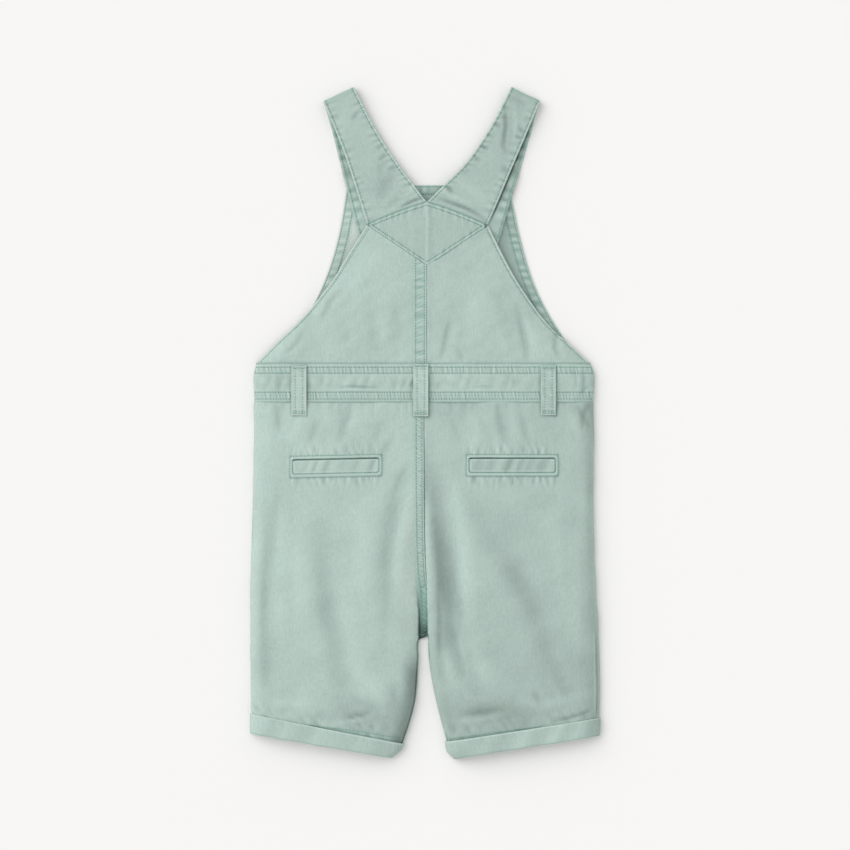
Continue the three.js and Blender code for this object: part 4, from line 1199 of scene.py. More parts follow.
        # A dark line along the inner edge, partly painted shade, and a painted highlight on the ridge beside
        # it
        deep += 0.15 * bell(to_inner, 0.4) * (1 - smoothstep(row, 5.0, 5.8))
        wear_and_painted_light += 0.35 * bell(to_inner - 1.0, 0.6) * (1 - smoothstep(row, 3.6, 4.4))
    rolled = lerp(0.22, 0.7, smoothstep(row, 4.8, 5.3))
    rise += 0.14 * beside - rolled * edge_roll(to_inner, 0.9)

    along, up = welt_box(side, x, y)
    half_x, half_y = WELT_LENGTH / 2 + 0.2, WELT_WIDTH / 2 + 0.2
    over = box_distance(along, up, half_x, half_y, 1.8)
    raised = smoothstep(over, 4.6, 1.6)
    # Painted shadow in the pocket window, darkest under its top edge and at its right end, and a pale rim
    # round the window
    darker = np.maximum(smoothstep(up, 3, 5), 0.4 * smoothstep(along, half_x - 3, half_x))
    window = smoothstep(over, lerp(0.5, 0.75, darker), lerp(-0.2, 0.2, darker))
    rise += 0.8 * raised - lerp(1.5, 2.1, darker) * window
    deep += lerp(0.6, 0.95, darker) * smoothstep(over, 0.9, 0.2)
    wear_and_painted_light += 0.15 * bell(over - 1.5, 0.5)
    stitched = bell(box_distance(along, up, *FRAME_HALF, 0.5), 0.8)
    rise -= 0.2 * stitched
    deep += 0.42 * stitched
    beyond = bell(np.abs(up) - half_y - 6.0, 4.6) * smoothstep(np.abs(along), half_x + 4, half_x - 3)
    seed = 3.0 if side == "left" else 9.0
    pucker = 0.7 * uneven(along + 0.3 * up, 7.4, seed) + 0.5 * uneven(along - 0.2 * up, 4.4, seed + 2)
    pucker = pucker * beyond * smoothstep(over, 2.4, 3.4)
    rise += 0.75 * pucker
    # Painted highlights on the pucker crests and painted shade between them
    wear_and_painted_light += 0.2 * crests(pucker) - 0.26 * dips(pucker)

    slant = 0.8 * (y + 236)
    hem = uneven(x + slant, 10.5, 6.0) + 0.7 * uneven(x - 0.6 * slant, 15, 3.0)
    hem = hem * bell(row - 7.8, 0.35) * (0.7 + 0.5 * drift(x, y, 40, 7))
    rise += 0.5 * hem + 0.16 * uneven(x + y, 5.5, 2.0) * bell(row - 7.7, 0.4)
    # Painted shade between the wrinkles over the hem
    wear_and_painted_light -= 0.12 * dips(hem)
    above_cuff = (CUFF_ROW - row) * CUFF_HEIGHT
    if side == "left":
        painted_shade_above_cuff = 1.2 * bell(above_cuff - 9, 8) * smoothstep(x, -86, -62) * smoothstep(x, -18, -34)
    else:
        painted_shade_above_cuff = bell(above_cuff - 10, 8) * smoothstep(x, 14, 28) * smoothstep(x, 124, 76)
    # Painted shade over the leg just above the cuff
    wear_and_painted_light -= 0.2 * painted_shade_above_cuff
    shown = smoothstep(across, 0.32, 0.42)
    # A painted shade line where the leg meets the top of the cuff
    beside_cuff = lerp(0.5, 1, shown) * bell(above_cuff, 1.0) * (row < CUFF_ROW)
    deep += (0.12 if side == "left" else 0.2) * beside_cuff
    opening = smoothstep(across, *HEM_OPENS)
    lowest, further = HEM_ROWS[side][1]
    between = smoothstep(above_cuff, lowest + further * opening + 0.4, 0)
    dotted = 0.06 + 0.5 * crests(uneven(x, 3.0, 8.0))
    deep += shown * (row < CUFF_ROW) * between * dotted * (1 if side == "left" else 0.25)
    for start, spread in HEM_ROWS[side]:
        line = bell(above_cuff - start - spread * opening, 0.6) * shown
        deep += (0.3 if side == "left" else 0.1) * line
        rise -= 0.2 * line
    return rise, wear_and_painted_light, deep


def dress_waistband(up, across, x, y):
    rise, trough, ridge = crease_marks(x, y, BAND_CREASES)
    # Painted highlight on the crease ridges and painted shade in their troughs
    wear_and_painted_light = 0.15 * ridge - 0.12 * trough
    deep = 0.22 * trough
    first, second, third, fourth = STITCH_ROWS_OF_BAND
    for pair, seed, pitch in (((first, second), 1.0, 3.5), ((third, fourth), 6.0, 2.7)):
        middle, reach = sum(pair) / 2, abs(pair[0] - pair[1]) / 2
        bars = uneven(x + 0.2 * y, pitch, seed) * bell(y - middle, reach * 1.15)
        ladder = uneven(x, 2.6, seed + 3) * bell(y - middle, reach)
        rise += 0.3 * bars + 0.16 * ladder
        # Painted highlights on the pucker crests and painted shade between them, and dye between the rows
        wear_and_painted_light += 0.44 * crests(bars) + 0.2 * crests(ladder)
        deep += 0.55 * dips(bars) + 0.36 * dips(ladder) + 0.2 * bell(y - middle, reach)
    for at in STITCH_ROWS_OF_BAND:
        rise -= 0.26 * bell(y - at, 0.7)
        deep += 0.2 * bell(y - at, 0.75)
        wear_and_painted_light += 0.12 * bell(np.abs(y - at) - 1.2, 0.5)
    middle = uneven(x - 0.3 * y, 10, 3.0) * bell(y - 32, 5)
    wear_and_painted_light += 0.05 * drift(x, y, 9, 12)
    rise += 0.38 * middle + 0.2 * drift(x, y, 22, 11)
    # Painted shade between the folds across the middle
    wear_and_painted_light -= 0.12 * dips(middle)
    for up_to_edge in (BAND_TOP - y, y - BAND_BOTTOM):
        rise -= 0.4 * edge_roll(up_to_edge, 0.7) + tuck(up_to_edge)
        # A pale line near each edge and a dark line of seam dye at it
        wear_and_painted_light += 0.16 * bell(up_to_edge - 0.9, 0.45)
        deep += 0.4 * smoothstep(up_to_edge, 0.4, 0.0)
    # Painted shadow beside the belt loops
    deep += 0.75 * painted_loop_shadow(x, y)
    return rise, wear_and_painted_light, deep


def dress_bib(side, up, across, x, y):
    outward = -1 if side == "left" else 1
    rise, trough, ridge = crease_marks(x, y, BIB_CREASES[side])
    rise = 1.1 * rise
    # Painted highlight on the crease ridges and painted shade in their troughs
    wear_and_painted_light = 0.16 * ridge - 0.18 * trough + 0.02 * drift(x, y, 22, 24)
    deep = np.zeros_like(x)
    rise += 0.4 * drift(x, y, 44, 21) + 0.2 * drift(x, y, 15, 22) + 0.07 * drift(x, y, 7, 23)
    to_edge = np.abs(x - ARMHOLE[side](y)) * ARMHOLE_SLOPE
    edge = sewn_edge(to_edge, y, 1.9, 2.0 if side == "left" else 4.0, 0.6)
    rise, wear_and_painted_light, deep = rise + edge[0], wear_and_painted_light + edge[1], deep + edge[2]
    to_seam = (x - BIB_SEAM_X) * outward - GAP / 2
    to_bottom = y - BIB_BOTTOM
    corner = YOKE_LEFT if side == "left" else YOKE_RIGHT
    run = np.clip((x - corner[0]) / (YOKE_LOW[0] - corner[0]), 0, 1)
    to_yoke = (lerp(corner[1], YOKE_LOW[1], run) - y) * YOKE_LOW_SLOPE
    if side == "left":
        inside = smoothstep(to_seam, BIB_FELL_WIDTH + 0.3, BIB_FELL_WIDTH - 0.3)
        ladder = uneven(y + 0.4 * to_seam, 3.2, 5.0) * bell(to_seam - 5, 3.2)
        bars = uneven(y, 7.4, 8.0) * bell(to_seam - 5, 4.5)
        rise += FELL_HEIGHT * inside + (0.14 * ladder + 0.26 * bars) * inside - tuck(to_seam)
        deep += 0.28 * bell(to_seam - BIB_FELL_WIDTH - 0.5, 0.6) + 0.14 * inside
        # Painted shade between the puckers of the fell and painted highlights on their crests, and a pale
        # line along the fell's edge
        deep += inside * (0.5 * dips(ladder) + 0.4 * dips(bars))
        wear_and_painted_light += inside * (0.2 * crests(ladder) + 0.24 * crests(bars))
        wear_and_painted_light += 0.5 * bell(to_seam - 0.5, 0.45)
        for at in BIB_FELL_ROWS:
            deep += 0.2 * bell(to_seam - at, 0.6)
            rise -= 0.2 * bell(to_seam - at, 0.6)
    deep += 0.4 * smoothstep(to_seam, 0.4, 0.0)
    rise -= 0.3 * edge_roll(to_seam, 0.6) - (0.5 * bell(to_seam, 3) if side == "right" else 0)
    gathers = uneven(x, 6.5, 3.0 + outward) * bell(to_bottom, 5)
    rise += 0.12 * gathers - 0.2 * edge_roll(to_bottom, 0.6)
    # A dark seam line at the bottom, and painted shade between the gathers
    deep += 0.15 * bell(to_bottom, 0.4) + 0.1 * dips(gathers)
    deep += 0.3 * bell(to_yoke, 0.5)
    rise -= 0.3 * edge_roll(to_yoke, 0.8) - (0.4 + 0.12 * uneven(x, 7, 2.0)) * bell(to_yoke, 4)
    return rise, wear_and_painted_light, deep


def dress_yoke(up, across, x, y):
    low, high = yoke_edges(x)
    to_low = (y - low) * YOKE_LOW_SLOPE
    to_high = (high - y) * YOKE_HIGH_SLOPE
    rise = 0.14 * drift(x, y, 24, 31) + 0.08 * drift(x, y, 9, 32)
    wear_and_painted_light = np.zeros_like(x)
    deep = np.zeros_like(x)
    for distance, seed in ((to_low, 2.0), (to_high - 0.3, 6.0)):
        part = sewn_edge(distance, x, 2.0, seed, 1.1)
        rise, wear_and_painted_light, deep = rise + part[0] - tuck(distance), wear_and_painted_light + 0.6 * part[1], deep + part[2]
        deep += 0.6 * smoothstep(distance, 0.3, -0.1)
    pressed = bell(x - 1.4, 0.8)
    rise += 0.2 * pressed + 0.2 * bell(x + 9, 2.2) - 0.2 * bell(x - 6, 2.4) - 0.15 * bell(x + 14, 2)
    wear_and_painted_light += 0.22 * pressed
    near_top = uneven(x, 6.0, 4.0) * bell(to_high - 4.5, 3.6)
    rise += 0.2 * near_top
    # Painted shade between the puckers near the top and in the dip right of the middle, and painted
    # highlights on the pucker crests
    deep += 0.16 * dips(near_top) + 0.12 * bell(x - 5, 2.0)
    wear_and_painted_light += 0.12 * crests(near_top)
    return rise, wear_and_painted_light, deep


def dress_strap(side, along, across, x, y):
    width = np.where(along < STRAP_FOLD, strap_width(side, along), STRAP_FRONT_WIDTH)
    to_outer = across * width
    to_inner = (1 - across) * width
    place = along * STRAP_ROW
    first = sewn_edge(to_outer, place, STRAP_STITCH, 1.0, 0.9)
    second = sewn_edge(to_inner, place, STRAP_STITCH, 5.0, 1.4)
    rise, wear_and_painted_light, deep = (a + b for a, b in zip(first, second))
    creases, trough, ridge = crease_marks(x, y, STRAP_CREASES[side])
    shows = 1 - smoothstep(along, STRAP_FOLD - 0.2, STRAP_FOLD)
    rise += shows * 1.15 * creases + 0.2 * drift(x, y, 26, 41) + 0.1 * drift(x, y, 9, 42)
    # Painted shade along the shoulder fold
    deep += 0.4 * bell(along - STRAP_FOLD - 0.22, 0.14)
    # Painted highlight on the crease ridges and painted shade in their troughs
    wear_and_painted_light += shows * (0.2 * ridge - 0.32 * trough)
    side_puckers = uneven(place, 7.4, 2.0) * bell(to_inner - 4, 3.4)
    side_puckers += uneven(place, 8.2, 7.0) * bell(to_outer - 4, 3)
    rise += 0.24 * side_puckers
    # Painted highlights on the pucker crests and painted shade between them
    wear_and_painted_light += 0.1 * crests(side_puckers) - 0.16 * dips(side_puckers)
    to_yoke = along * 20
    deep += 0.5 * bell(to_yoke, 0.8)
    rise -= 0.3 * edge_roll(to_yoke, 0.8)
    front = smoothstep(along, STRAP_FOLD + STRAP_FOLD_SPAN, STRAP_FOLD + STRAP_FOLD_SPAN + 0.4)
    bands = uneven(place, 9.0, 3.0) * (bell(to_outer - 4.5, 3.5) + bell(to_inner - 4.5, 3.5))
    rise -= 0.2 * front * bands
    # The front run painted a little darker, with painted shade between its puckers and painted highlights on
    # their crests
    deep += front * (0.6 * dips(bands) + 0.1)
    wear_and_painted_light += front * 0.4 * crests(bands)
    if side == "right":
        down_the_back = np.linspace(0, STRAP_FOLD, 60)
        outer_x, outer_y = (curve(down_the_back) for curve in STRAP_RUNS[side][0][:2])
        edge_x = np.interp(y, outer_y, outer_x)
        # Painted shadow on the front run, beside the outer edge of the back run above it
        gap = bell(x - edge_x - 0.7, 0.7) * smoothstep(y, 158, 172) * smoothstep(y, 250, 215)
        wear_and_painted_light -= 0.95 * front * gap
    return rise, wear_and_painted_light, deep


def dress_front_bib(up, across, x, y):
    to_left, to_right = (x - FRONT_LEFT(y)) * FRONT_SLOPE, (FRONT_RIGHT(y) - x) * FRONT_SLOPE
    to_top = FRONT_BIB_TOP - y
    rise = 0.12 * drift(x, y, 30, 51)
    # Painted light on the left of the bib and painted shade on its right, and painted light beside the left
    # hem
    wear_and_painted_light = lerp(0.14, -0.13, smoothstep(x, -30, 30))
    wear_and_painted_light += 0.46 * smoothstep(to_left, 6.5, 9) * smoothstep(x, -36, -56)
    # Painted shade, darker to the right and near the top, and along the left hem
    deep = lerp(0.03, 0.16, smoothstep(x, -30, 30)) + 0.1 * smoothstep(y, 178, 186)
    deep += 0.12 * bell(to_left - 3, 3)
    for distance, place, seed in ((to_left, y, 1.0), (to_right, y, 4.0), (to_top, x, 7.0)):
        part = sewn_edge(distance, place, 1.2, seed, 0.4)
        hem = smoothstep(distance, FRONT_HEM - 0.4, FRONT_HEM - 1.6)
        blotch = uneven(place, 7.0, seed + 2) * bell(distance - 4, 2.6)
        rise += part[0] + 0.35 * blotch + 0.3 * hem
        # Pale hems with painted highlights on the blotch crests; dye in the stitch rows and painted shade
        # between the blotches
        wear_and_painted_light += 0.8 * part[1] + 0.5 * crests(blotch)
        deep += part[2] + 0.6 * dips(blotch) + 0.4 * bell(distance - 6.4, 0.6)
    return rise, wear_and_painted_light, deep


def dress_loop(up, across, x, y):
    to_side = np.minimum(across, 1 - across) * LOOP_WIDTH
    groove = bell(to_side - LOOP_STITCH, 0.6)
    edge = bell(to_side - 0.5, 0.5)
    ladder = uneven(y, 2.2, 3.0) * bell(to_side - LOOP_STITCH, 1.1)
    ends = np.minimum(up, 1 - up) * 40
    roll = 0.6 * edge_roll(to_side, 0.8) + 0.5 * edge_roll(ends, 0.9)
    rise = 0.15 * edge - 0.12 * groove + 0.14 * ladder - roll + 0.1 * drift(x, y, 9, 91)
    pale_end = bell(ends - 0.6, 0.6) * (up < 0.5)
    rubbed = lerp(0.05, 0.5, smoothstep(across, 0.4, 0.6)) * edge
    # Pale edges and lower end, and painted highlights on the pucker crests beside the stitch rows
    wear_and_painted_light = rubbed + 0.24 * crests(ladder) + 0.25 * pale_end + 0.1 * drift(x, y, 7, 92)
    # Painted shade between the puckers, dye in the bar tacks, and painted shade at the top end
    deep = 0.6 * dips(ladder) + 0.28 * bell(ends - LOOP_TACKS[0], 0.5)
    deep += 0.24 * bell(ends - LOOP_TACKS[1], 0.6)
    deep += 0.12 * bell(ends - 1.4, 1.4) * (up > 0.5)
    return rise, wear_and_painted_light, deep


def dress_welt(side, up, across, x, y):
    along, above = welt_box(side, x, y)
    edge = -box_distance(along, above, WELT_LENGTH / 2, WELT_WIDTH / 2, 2.0)
    wave = uneven(along - 0.4 * above, 10.5, 2.0 if side == "left" else 5.0)
    high = 0.17 if side == "left" else 0.3
    rise = high * wave * smoothstep(edge, 0, 2) - 0.5 * smoothstep(edge, 0.6, -0.4)
    # Painted highlights on the wave crests and painted shade in their dips, a pale line near the edge, and
    # painted shade at the edges behind the window
    wear_and_painted_light = 0.15 * crests(wave) + 0.2 * bell(edge - 0.9, 0.6) - 0.22 * dips(wave) ** 2
    return rise, wear_and_painted_light, 0.6 * smoothstep(edge, 0.6, 0.0)


def dress_cuff(place, across, x, y):
    fold = bell(place - 0.02, 0.022)
    wave = uneven(x, 8.4, 3.0) * bell(place - 0.1, 0.24)
    fine = uneven(x + 4 * place, 4.3, 5.0) * bell(place - 0.3, 0.4)
    slow = uneven(x + 9 * place, 26, 1.0)
    turned = smoothstep(x, 125, 134) + 0.5 * bell(x + 28, 14) + 0.5 * bell(x - 24, 12)
    rise = 0.13 * wave + 0.25 * slow + 0.05 * fine + 0.16 * drift(x, y, 14, 81)
    # A pale line along the top fold, painted highlights on the slow crests, and painted shade in the dips and
    # at the ends, where the cuff turns round
    wear_and_painted_light = 0.5 * fold + 0.1 * crests(slow) - 0.06 * dips(wave) - 0.07 * dips(slow) - 0.15 * turned
    # Painted shade between the fine wrinkles and where the lower edge starts to round
    deep = 0.06 * dips(fine) + 0.3 * bell(place - CUFF_PLACES[1], 0.05)
    return rise, wear_and_painted_light, deep


def dress_plain(seed, u, v, x, y):
    nothing = np.zeros_like(x)
    return 0.1 * drift(x, y, 30, seed), nothing, nothing


def number_setting(name, description, default, least, most, **kind):
    return bpy.props.FloatProperty(
        name=name, description=description, default=default, min=least, max=most, **kind
    )


def colour_setting(name, description, default):
    return bpy.props.FloatVectorProperty(
        name=name, description=description, default=default, min=0, max=1, size=3, subtype="COLOR"
    )


class DungareesSettings(bpy.types.PropertyGroup):
    cloth_wall: number_setting(
        "Cloth wall", "Thickness of one layer of twill", 0.0009, 0.0003, 0.002, unit="LENGTH", precision=5
    )
    stitch_length: number_setting("Stitch length", "Millimetres of thread that show in a stitch", 1.05, 1, 4)
    stitch_pitch: number_setting("Stitch pitch", "Millimetres from one stitch to the next", 2.15, 1.5, 5)
    thread_radius: number_setting(
        "Thread radius", "Half the thickness of thread", 0.00042, 0.0001, 0.001, unit="LENGTH", precision=5
    )
    cloth_colour: colour_setting("Cloth", "Colour of the washed twill", (0.43, 0.546, 0.50))
    inside_colour: colour_setting("Inside", "Colour of the wrong side of the twill", (0.40, 0.51, 0.468))
    # Pale colour of worn edges, also used for painted highlights
    worn_and_highlight_colour: colour_setting("Worn edges", "Colour of the twill rubbed pale", (0.70, 0.755, 0.71))
    # Colour of seam dye, also used for painted shade in troughs, hollows and beside raised parts
    seam_and_shade_colour: colour_setting("Seams", "Colour of the twill deep in seams", (0.155, 0.325, 0.27))
    thread_colour: colour_setting("Thread", "Colour of the sewing thread", (0.175, 0.335, 0.28))
    button_colour: colour_setting("Buttons", "Colour of the buttons", (0.42, 0.50, 0.46))
    sky_light: number_setting("Sky light", "Brightness of the even light from all round", 0.76, 0, 5)
    soft_light: number_setting("Soft light", "Strength of the broad light from the upper left", 1.42, 0, 20)
    floor_colour: colour_setting("Floor", "Colour of the floor", (0.885, 0.878, 0.864))


class PieceOperator:
    """What the operators of the pieces share."""

    bl_options = {"REGISTER", "UNDO"}

    def begin(self, context):
        self.settings = context.scene.dungarees
        made = finishes(self.settings)
        self.outside = [made["Twill"], made["Twill inside"]]
        self.thread = made["Thread"]
        self.rows = []

    def stitch(self, cloth, u, v, pitch=None, length=None, under=0.0):
        """Adds a row of stitches to the piece that is sewn next."""
        pitch = pitch or self.settings.stitch_pitch
        length = length or self.settings.stitch_length
        self.rows.append(stitch_row(cloth, u, v, pitch, length, under))

    def sew(self, name, cloth, us, vs, rests_on, wall=None, materials=None, pattern=None):
        """Makes a panel of cloth in place of its solid, with the rows of stitches that were added for it."""
        sewn = [stitches(f"stitches_{name}", self.rows, self.settings, self.thread)] if self.rows else []
        self.rows = []
        wall = wall or self.settings.cloth_wall / MM
        panel(
            f"cloth_{name}", cloth, us, vs, wall, materials or self.outside, [name], pattern,
            rests_on=rests_on, with_pieces=sewn,
        )


class DUNGAREES_OT_back_legs(PieceOperator, bpy.types.Operator):
    """Sew the two back leg panels, with the felled centre seam and the stitching round the pockets"""

    bl_idname = "dungarees.back_legs"
    bl_label = "Back legs"

    def execute(self, context):
        self.begin(context)
        corners = ((-1, 1), (1, 1), (1, -1), (-1, -1), (-1, 1))
        for side in SIDES:
            side_x, _, inner_x, _ = LEG[side][:4]
            centre_x, centre_y, tilt = WELTS[side]
            cloth = leg_cloth("back", side, partial(dress_back_leg, side))
            from_top = LEG_TOP - centre_y
            half_x, half_y = WELT_LENGTH / 2 + 1.6, WELT_WIDTH / 2 + 1.2
            marks = ((from_top - half_y, 2.6), (from_top + half_y, 2.6), (LEG_TOP - CROTCH_Y, 3.5))
            us = down_leg(side, 1.2, marks)
            width = abs(inner_x(0.0) - side_x(0.0))
            from_side = abs(centre_x - side_x(1.4))
            marks = [(from_side - half_x, 2.0), (from_side + half_x, 2.0)]
            if side == "left":
                marks.append((width - LEG_FELL_WIDTH / 2, LEG_FELL_WIDTH / 2 + 1.2))
            vs = shares(width, 1.35, marks, 0.4)
            for (ax, ay), (bx, by) in zip(corners, corners[1:]):
                place = np.linspace(0, 1, 200)
                along = lerp(ax, bx, place) * FRAME_HALF[0]
                up = lerp(ay, by, place) * FRAME_HALF[1]
                self.stitch(cloth, *place_on_leg(side, centre_x + along, centre_y + up + tilt * along))
            if side == "left":
                down = np.linspace(0.02, 5.1, 400)
                for inset in LEG_FELL_ROWS:
                    self.stitch(cloth, down, 1 - inset / np.abs(inner_x(down) - side_x(down)))
            along_hem = np.linspace(0.38, 0.985, 300)
            for start, spread in HEM_ROWS[side]:
                above = start + spread * smoothstep(along_hem, *HEM_OPENS)
                self.stitch(cloth, CUFF_ROW - above / CUFF_HEIGHT, along_hem, pitch=TACK_PITCH)
            self.sew(f"back_leg_{side}", cloth, us, vs, [f"cloth_front_leg_{side}"])
        return {"FINISHED"}


class DUNGAREES_OT_front_legs(PieceOperator, bpy.types.Operator):
    """Sew the two front leg panels, which lie on the floor"""

    bl_idname = "dungarees.front_legs"
    bl_label = "Front legs"

    def execute(self, context):
        self.begin(context)
        for side in SIDES:
            cloth = leg_cloth("front", side, partial(dress_plain, 61))
            self.sew(f"front_leg_{side}", cloth, down_leg(side, 3.2), shares(136, 3.2), ["floor"])
        return {"FINISHED"}


class DUNGAREES_OT_cuffs(PieceOperator, bpy.types.Operator):
    """Turn up the cuffs round both legs"""

    bl_idname = "dungarees.cuffs"
    bl_label = "Cuffs"

    def execute(self, context):
        self.begin(context)
        for side in SIDES:
            for face, step, under in (("back", 0.95, f"cloth_front_leg_{side}"), ("front", 2.4, "floor")):
                leg = leg_cloth(face, side)
                cloth = Cloth(partial(cuff_point, leg), dress_cuff, up=face == "back", test=(0.4, 0.5))
                us = shares(20, 0.9, fine=0.4)
                self.sew(f"cuff_{face}_{side}", cloth, us, shares(118, step), [under], wall=CUFF_WALL)
        return {"FINISHED"}


class DUNGAREES_OT_waistbands(PieceOperator, bpy.types.Operator):
    """Sew the back and the front of the waistband with their four rows of stitches"""

    bl_idname = "dungarees.waistbands"
    bl_label = "Waistband"

    def execute(self, context):
        self.begin(context)
        high = BAND_TOP - BAND_BOTTOM
        back = Cloth(partial(band_point, "back"), dress_waistband)
        for at in STITCH_ROWS_OF_BAND:
            self.stitch(back, (at - BAND_BOTTOM) / high, np.linspace(0.002, 0.998, 500))
        marks = [(at - BAND_BOTTOM, 1.2) for at in STITCH_ROWS_OF_BAND]
        us = tucked(shares(high, 0.75, marks, 0.4), high)
        vs = shares(BAND_LENGTH, 0.65)
        self.sew("back_waistband", back, us, vs, ["cloth_front_waistband"], wall=BAND_WALL)
        front = Cloth(partial(band_point, "front"), partial(dress_plain, 71), up=False)
        vs = shares(BAND_LENGTH, 2.4)
        self.sew("front_waistband", front, shares(high, 2), vs, ["floor"], wall=BAND_WALL)
        return {"FINISHED"}


class DUNGAREES_OT_back_bib(PieceOperator, bpy.types.Operator):
    """Sew the two halves of the back bib and the felled seam between them"""

    bl_idname = "dungarees.back_bib"
    bl_label = "Back bib"

    def execute(self, context):
        self.begin(context)
        up = np.linspace(0.004, 0.99, 400)
        for side in SIDES:
            cloth = Cloth(partial(bib_point, side), partial(dress_bib, side))
            beside = shares(88, 0.95) * BIB_FELL_PLACE
            in_fell = np.linspace(0, 1, 21 if side == "left" else 13)[1:]
            if side == "left":
                in_fell = tucked(in_fell, BIB_FELL_WIDTH, both=False)
            vs = np.concatenate((beside, BIB_FELL_PLACE + in_fell * (1 - BIB_FELL_PLACE)))
            edge_y = lerp(BIB_BOTTOM + ARMHOLE_EASE, YOKE_LEFT[1], up)
            span = np.abs(ARMHOLE[side](edge_y)) - BIB_FELL_WIDTH
            self.stitch(cloth, up, 2.5 / np.maximum(span, 20) * BIB_FELL_PLACE)
            if side == "left":
                for inset in BIB_FELL_ROWS:
                    self.stitch(cloth, up, 1 - inset / BIB_FELL_WIDTH * (1 - BIB_FELL_PLACE))
            self.sew(f"back_bib_{side}", cloth, shares(96, 0.85), vs, ["cloth_front_bib"])
        return {"FINISHED"}


class DUNGAREES_OT_yoke(PieceOperator, bpy.types.Operator):
    """Sew the diamond-shaped yoke where the straps meet"""

    bl_idname = "dungarees.yoke"
    bl_label = "Yoke"

    def execute(self, context):
        self.begin(context)
        cloth = Cloth(yoke_point, dress_yoke)
        across = np.linspace(0.025, 0.975, 600)
        low, high = yoke_edges(lerp(YOKE_LEFT[0] + YOKE_BLUNT, YOKE_RIGHT[0] - YOKE_BLUNT, across))
        room = np.maximum(high - low, 5.2)
        for half in (across < 0.5, across >= 0.5):
            self.stitch(cloth, (2.4 / room)[half], across[half])
            self.stitch(cloth, (1 - 2.3 / room)[half], across[half])
        us = tucked(shares(YOKE_TALL, 1.0), YOKE_TALL)
        self.sew("back_yoke", cloth, us, shares(92, 0.8), ["cloth_front_bib"], wall=YOKE_WALL)
        return {"FINISHED"}


class DUNGAREES_OT_front_bib(PieceOperator, bpy.types.Operator):
    """Sew the front bib, which shows its inside beside the back"""

    bl_idname = "dungarees.front_bib"
    bl_label = "Front bib"

    def execute(self, context):
        self.begin(context)
        cloth = Cloth(front_bib_point, dress_front_bib)
        up = np.linspace(0.03, 0.985, 400)
        y = lerp(BIB_BOTTOM, FRONT_BIB_TOP, up)
        span = FRONT_RIGHT(y) - FRONT_LEFT(y)
        for inset in FRONT_HEM_ROWS:
            self.stitch(cloth, up, inset / span)
            self.stitch(cloth, up, 1 - inset / span)
            self.stitch(cloth, 1 - inset / FRONT_BIB_TALL, np.linspace(0.02, 0.98, 300))
        us = shares(FRONT_BIB_TALL, 1.5, [(FRONT_BIB_TALL - 7, 1.4)])
        vs = shares(FRONT_BIB_WIDE, 2.0, [(FRONT_HEM, 1.4), (FRONT_BIB_WIDE - FRONT_HEM, 1.4)])
        self.sew("front_bib", cloth, us, vs, ["floor"], materials=self.outside[::-1])
        return {"FINISHED"}


class DUNGAREES_OT_straps(PieceOperator, bpy.types.Operator):
    """Sew the straps from the yoke over the shoulders to the front bib"""

    bl_idname = "dungarees.straps"
    bl_label = "Straps"

    def execute(self, context):
        self.begin(context)
        on_back = np.linspace(0.05, STRAP_FOLD + 0.5, 400)
        in_front = np.linspace(STRAP_FOLD + 0.5, STRAP_END - 0.1, 400)
        for side in SIDES:
            dress = partial(dress_strap, side)
            cloth = Cloth(partial(strap_point, side), dress, rows=STRAP_END, test=(2, 0.5))
            us = by_length(lambda along: cloth.point(along, 0.5 + 0 * along), 0, STRAP_END, 0.95)
            wide = strap_width(side, on_back)
            for place in (STRAP_STITCH / wide, 1 - STRAP_STITCH / wide):
                self.stitch(cloth, on_back, place)
                self.stitch(cloth, in_front, place[-1] + 0 * in_front, under=STRAP_CLOTH)
            self.sew(
                f"strap_{side}", cloth, us, shares(STRAP_WIDE, 0.85), ["cloth_front_bib", "floor"],
                wall=STRAP_CLOTH, materials=self.outside[:1], pattern=strap_weave,
            )
        return {"FINISHED"}


class DUNGAREES_OT_belt_loops(PieceOperator, bpy.types.Operator):
    """Sew the three belt loops with their two rows and the bar tacks at both ends"""

    bl_idname = "dungarees.belt_loops"
    bl_label = "Belt loops"

    def execute(self, context):
        self.begin(context)
        for name, (_, bottom, top) in LOOPS.items():
            cloth = Cloth(partial(loop_point, name), dress_loop)
            long = top - bottom
            for across in (LOOP_STITCH / LOOP_WIDTH, 1 - LOOP_STITCH / LOOP_WIDTH):
                self.stitch(cloth, np.linspace(0.03, 0.97, 200), across, length=0.8)
            for up in (LOOP_TACKS[0] / long, LOOP_TACKS[1] / long, 1 - LOOP_TACKS[0] / long):
                self.stitch(cloth, up, np.linspace(0.06, 0.94, 60), pitch=TACK_PITCH, length=1.0)
            self.sew(
                f"belt_loop_{name}", cloth, shares(long, 0.7), shares(LOOP_WIDTH, 0.6),
                ["cloth_back_waistband"], wall=LOOP_WALL, materials=self.outside[:1],
            )
        return {"FINISHED"}


class DUNGAREES_OT_pocket_welts(PieceOperator, bpy.types.Operator):
    """Set the welts into the windows of the two back pockets"""

    bl_idname = "dungarees.pocket_welts"
    bl_label = "Pocket welts"

    def execute(self, context):
        self.begin(context)
        for side in SIDES:
            cloth = Cloth(partial(welt_point, side, leg_cloth("back", side)), partial(dress_welt, side))
            self.sew(
                f"pocket_welt_{side}", cloth, shares(WELT_WIDTH, 0.6), shares(WELT_LENGTH, 0.7),
                [f"cloth_back_leg_{side}"], wall=WELT_WALL, materials=self.outside[:1],
            )
        return {"FINISHED"}


class DUNGAREES_OT_buttons(PieceOperator, bpy.types.Operator):
    """Finish the two flat buttons that hold the straps to the front bib"""

    bl_idname = "dungarees.buttons"
    bl_label = "Buttons"

    def execute(self, context):
        self.begin(context)
        for side in SIDES:
            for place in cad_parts[f"button_{side}"].material_slots:
                place.material = bpy.data.materials["Button plastic"]
        return {"FINISHED"}


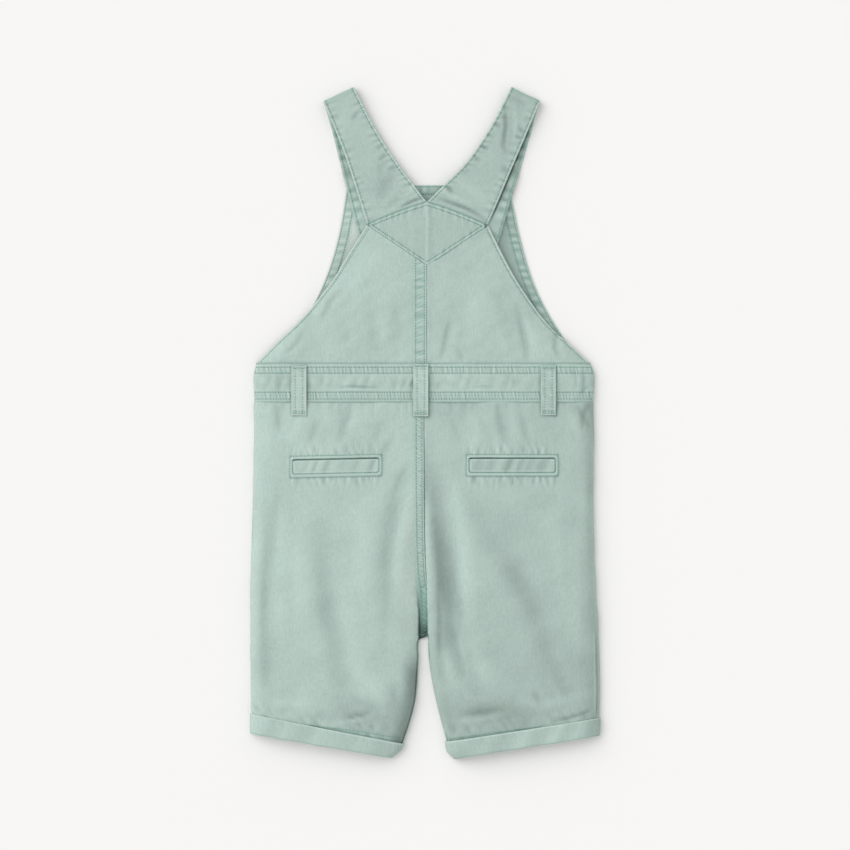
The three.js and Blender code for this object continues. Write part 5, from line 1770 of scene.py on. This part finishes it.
class DUNGAREES_OT_stage(bpy.types.Operator):
    """Set out the pale floor, the soft light from the upper left and the camera overhead"""

    bl_idname = "dungarees.stage"
    bl_label = "Floor, light and camera"

    def execute(self, context):
        settings = context.scene.dungarees
        bm = bmesh.new()
        bmesh.ops.create_grid(bm, x_segments=1, y_segments=1, size=4)
        bmesh.ops.translate(bm, vec=(0, 0, -0.0001), verts=bm.verts)
        looks = {"Base Color": (*settings.floor_colour, 1), "Roughness": 0.9, "Specular IOR Level": 0.1}
        add_object(to_mesh(bm, "floor"), [Finish("Floor", looks).material])

        world = bpy.data.worlds.new("Studio")
        world.use_nodes = True
        sky = world.node_tree.nodes["Background"]
        sky.inputs["Color"].default_value = (1, 1, 1, 1)
        sky.inputs["Strength"].default_value = settings.sky_light
        context.scene.world = world

        lamp = bpy.data.lights.new("Soft light", "SUN")
        lamp.angle = math.radians(56)
        lamp.energy = settings.soft_light
        light = bpy.data.objects.new("Soft light", lamp)
        light.location = (-1.5, 0.95, 1.5)
        light.rotation_euler = (-Vector(light.location)).to_track_quat("-Z", "Y").to_euler()
        context.scene.collection.objects.link(light)

        view = bpy.data.cameras.new("Overhead")
        view.sensor_width = 36
        distance = 3.0
        seen = 0.680
        view.lens = view.sensor_width * distance / seen
        camera = bpy.data.objects.new("Overhead", view)
        camera.location = (-0.00024, -0.0020, distance + 0.009)
        context.scene.collection.objects.link(camera)
        context.scene.camera = camera
        context.scene.view_settings.view_transform = "Standard"
        return {"FINISHED"}


class DUNGAREES_PT_sidebar(bpy.types.Panel):
    bl_idname = "DUNGAREES_PT_sidebar"
    bl_label = "Baby dungaree shorts"
    bl_space_type = "VIEW_3D"
    bl_region_type = "UI"
    bl_category = "Dungarees"

    def draw(self, context):
        for name in DungareesSettings.__annotations__:
            self.layout.prop(context.scene.dungarees, name)
        for piece in OPERATORS:
            self.layout.operator(piece.bl_idname)


OPERATORS = (
    DUNGAREES_OT_front_legs,
    DUNGAREES_OT_waistbands,
    DUNGAREES_OT_front_bib,
    DUNGAREES_OT_back_legs,
    DUNGAREES_OT_cuffs,
    DUNGAREES_OT_back_bib,
    DUNGAREES_OT_yoke,
    DUNGAREES_OT_straps,
    DUNGAREES_OT_belt_loops,
    DUNGAREES_OT_pocket_welts,
    DUNGAREES_OT_buttons,
    DUNGAREES_OT_stage,
)
CLASSES = (DungareesSettings, *OPERATORS, DUNGAREES_PT_sidebar)


def register():
    for kind in CLASSES:
        bpy.utils.register_class(kind)
    bpy.types.Scene.dungarees = bpy.props.PointerProperty(type=DungareesSettings)


def unregister():
    del bpy.types.Scene.dungarees
    for kind in reversed(CLASSES):
        bpy.utils.unregister_class(kind)


def main():
    register()
    bpy.ops.dungarees.stage()
    bpy.ops.dungarees.front_legs()
    bpy.ops.dungarees.waistbands()
    bpy.ops.dungarees.front_bib()
    bpy.ops.dungarees.back_legs()
    bpy.ops.dungarees.cuffs()
    bpy.ops.dungarees.back_bib()
    bpy.ops.dungarees.yoke()
    bpy.ops.dungarees.straps()
    bpy.ops.dungarees.belt_loops()
    bpy.ops.dungarees.pocket_welts()
    bpy.ops.dungarees.buttons()


if __name__ == "__main__":
    main()
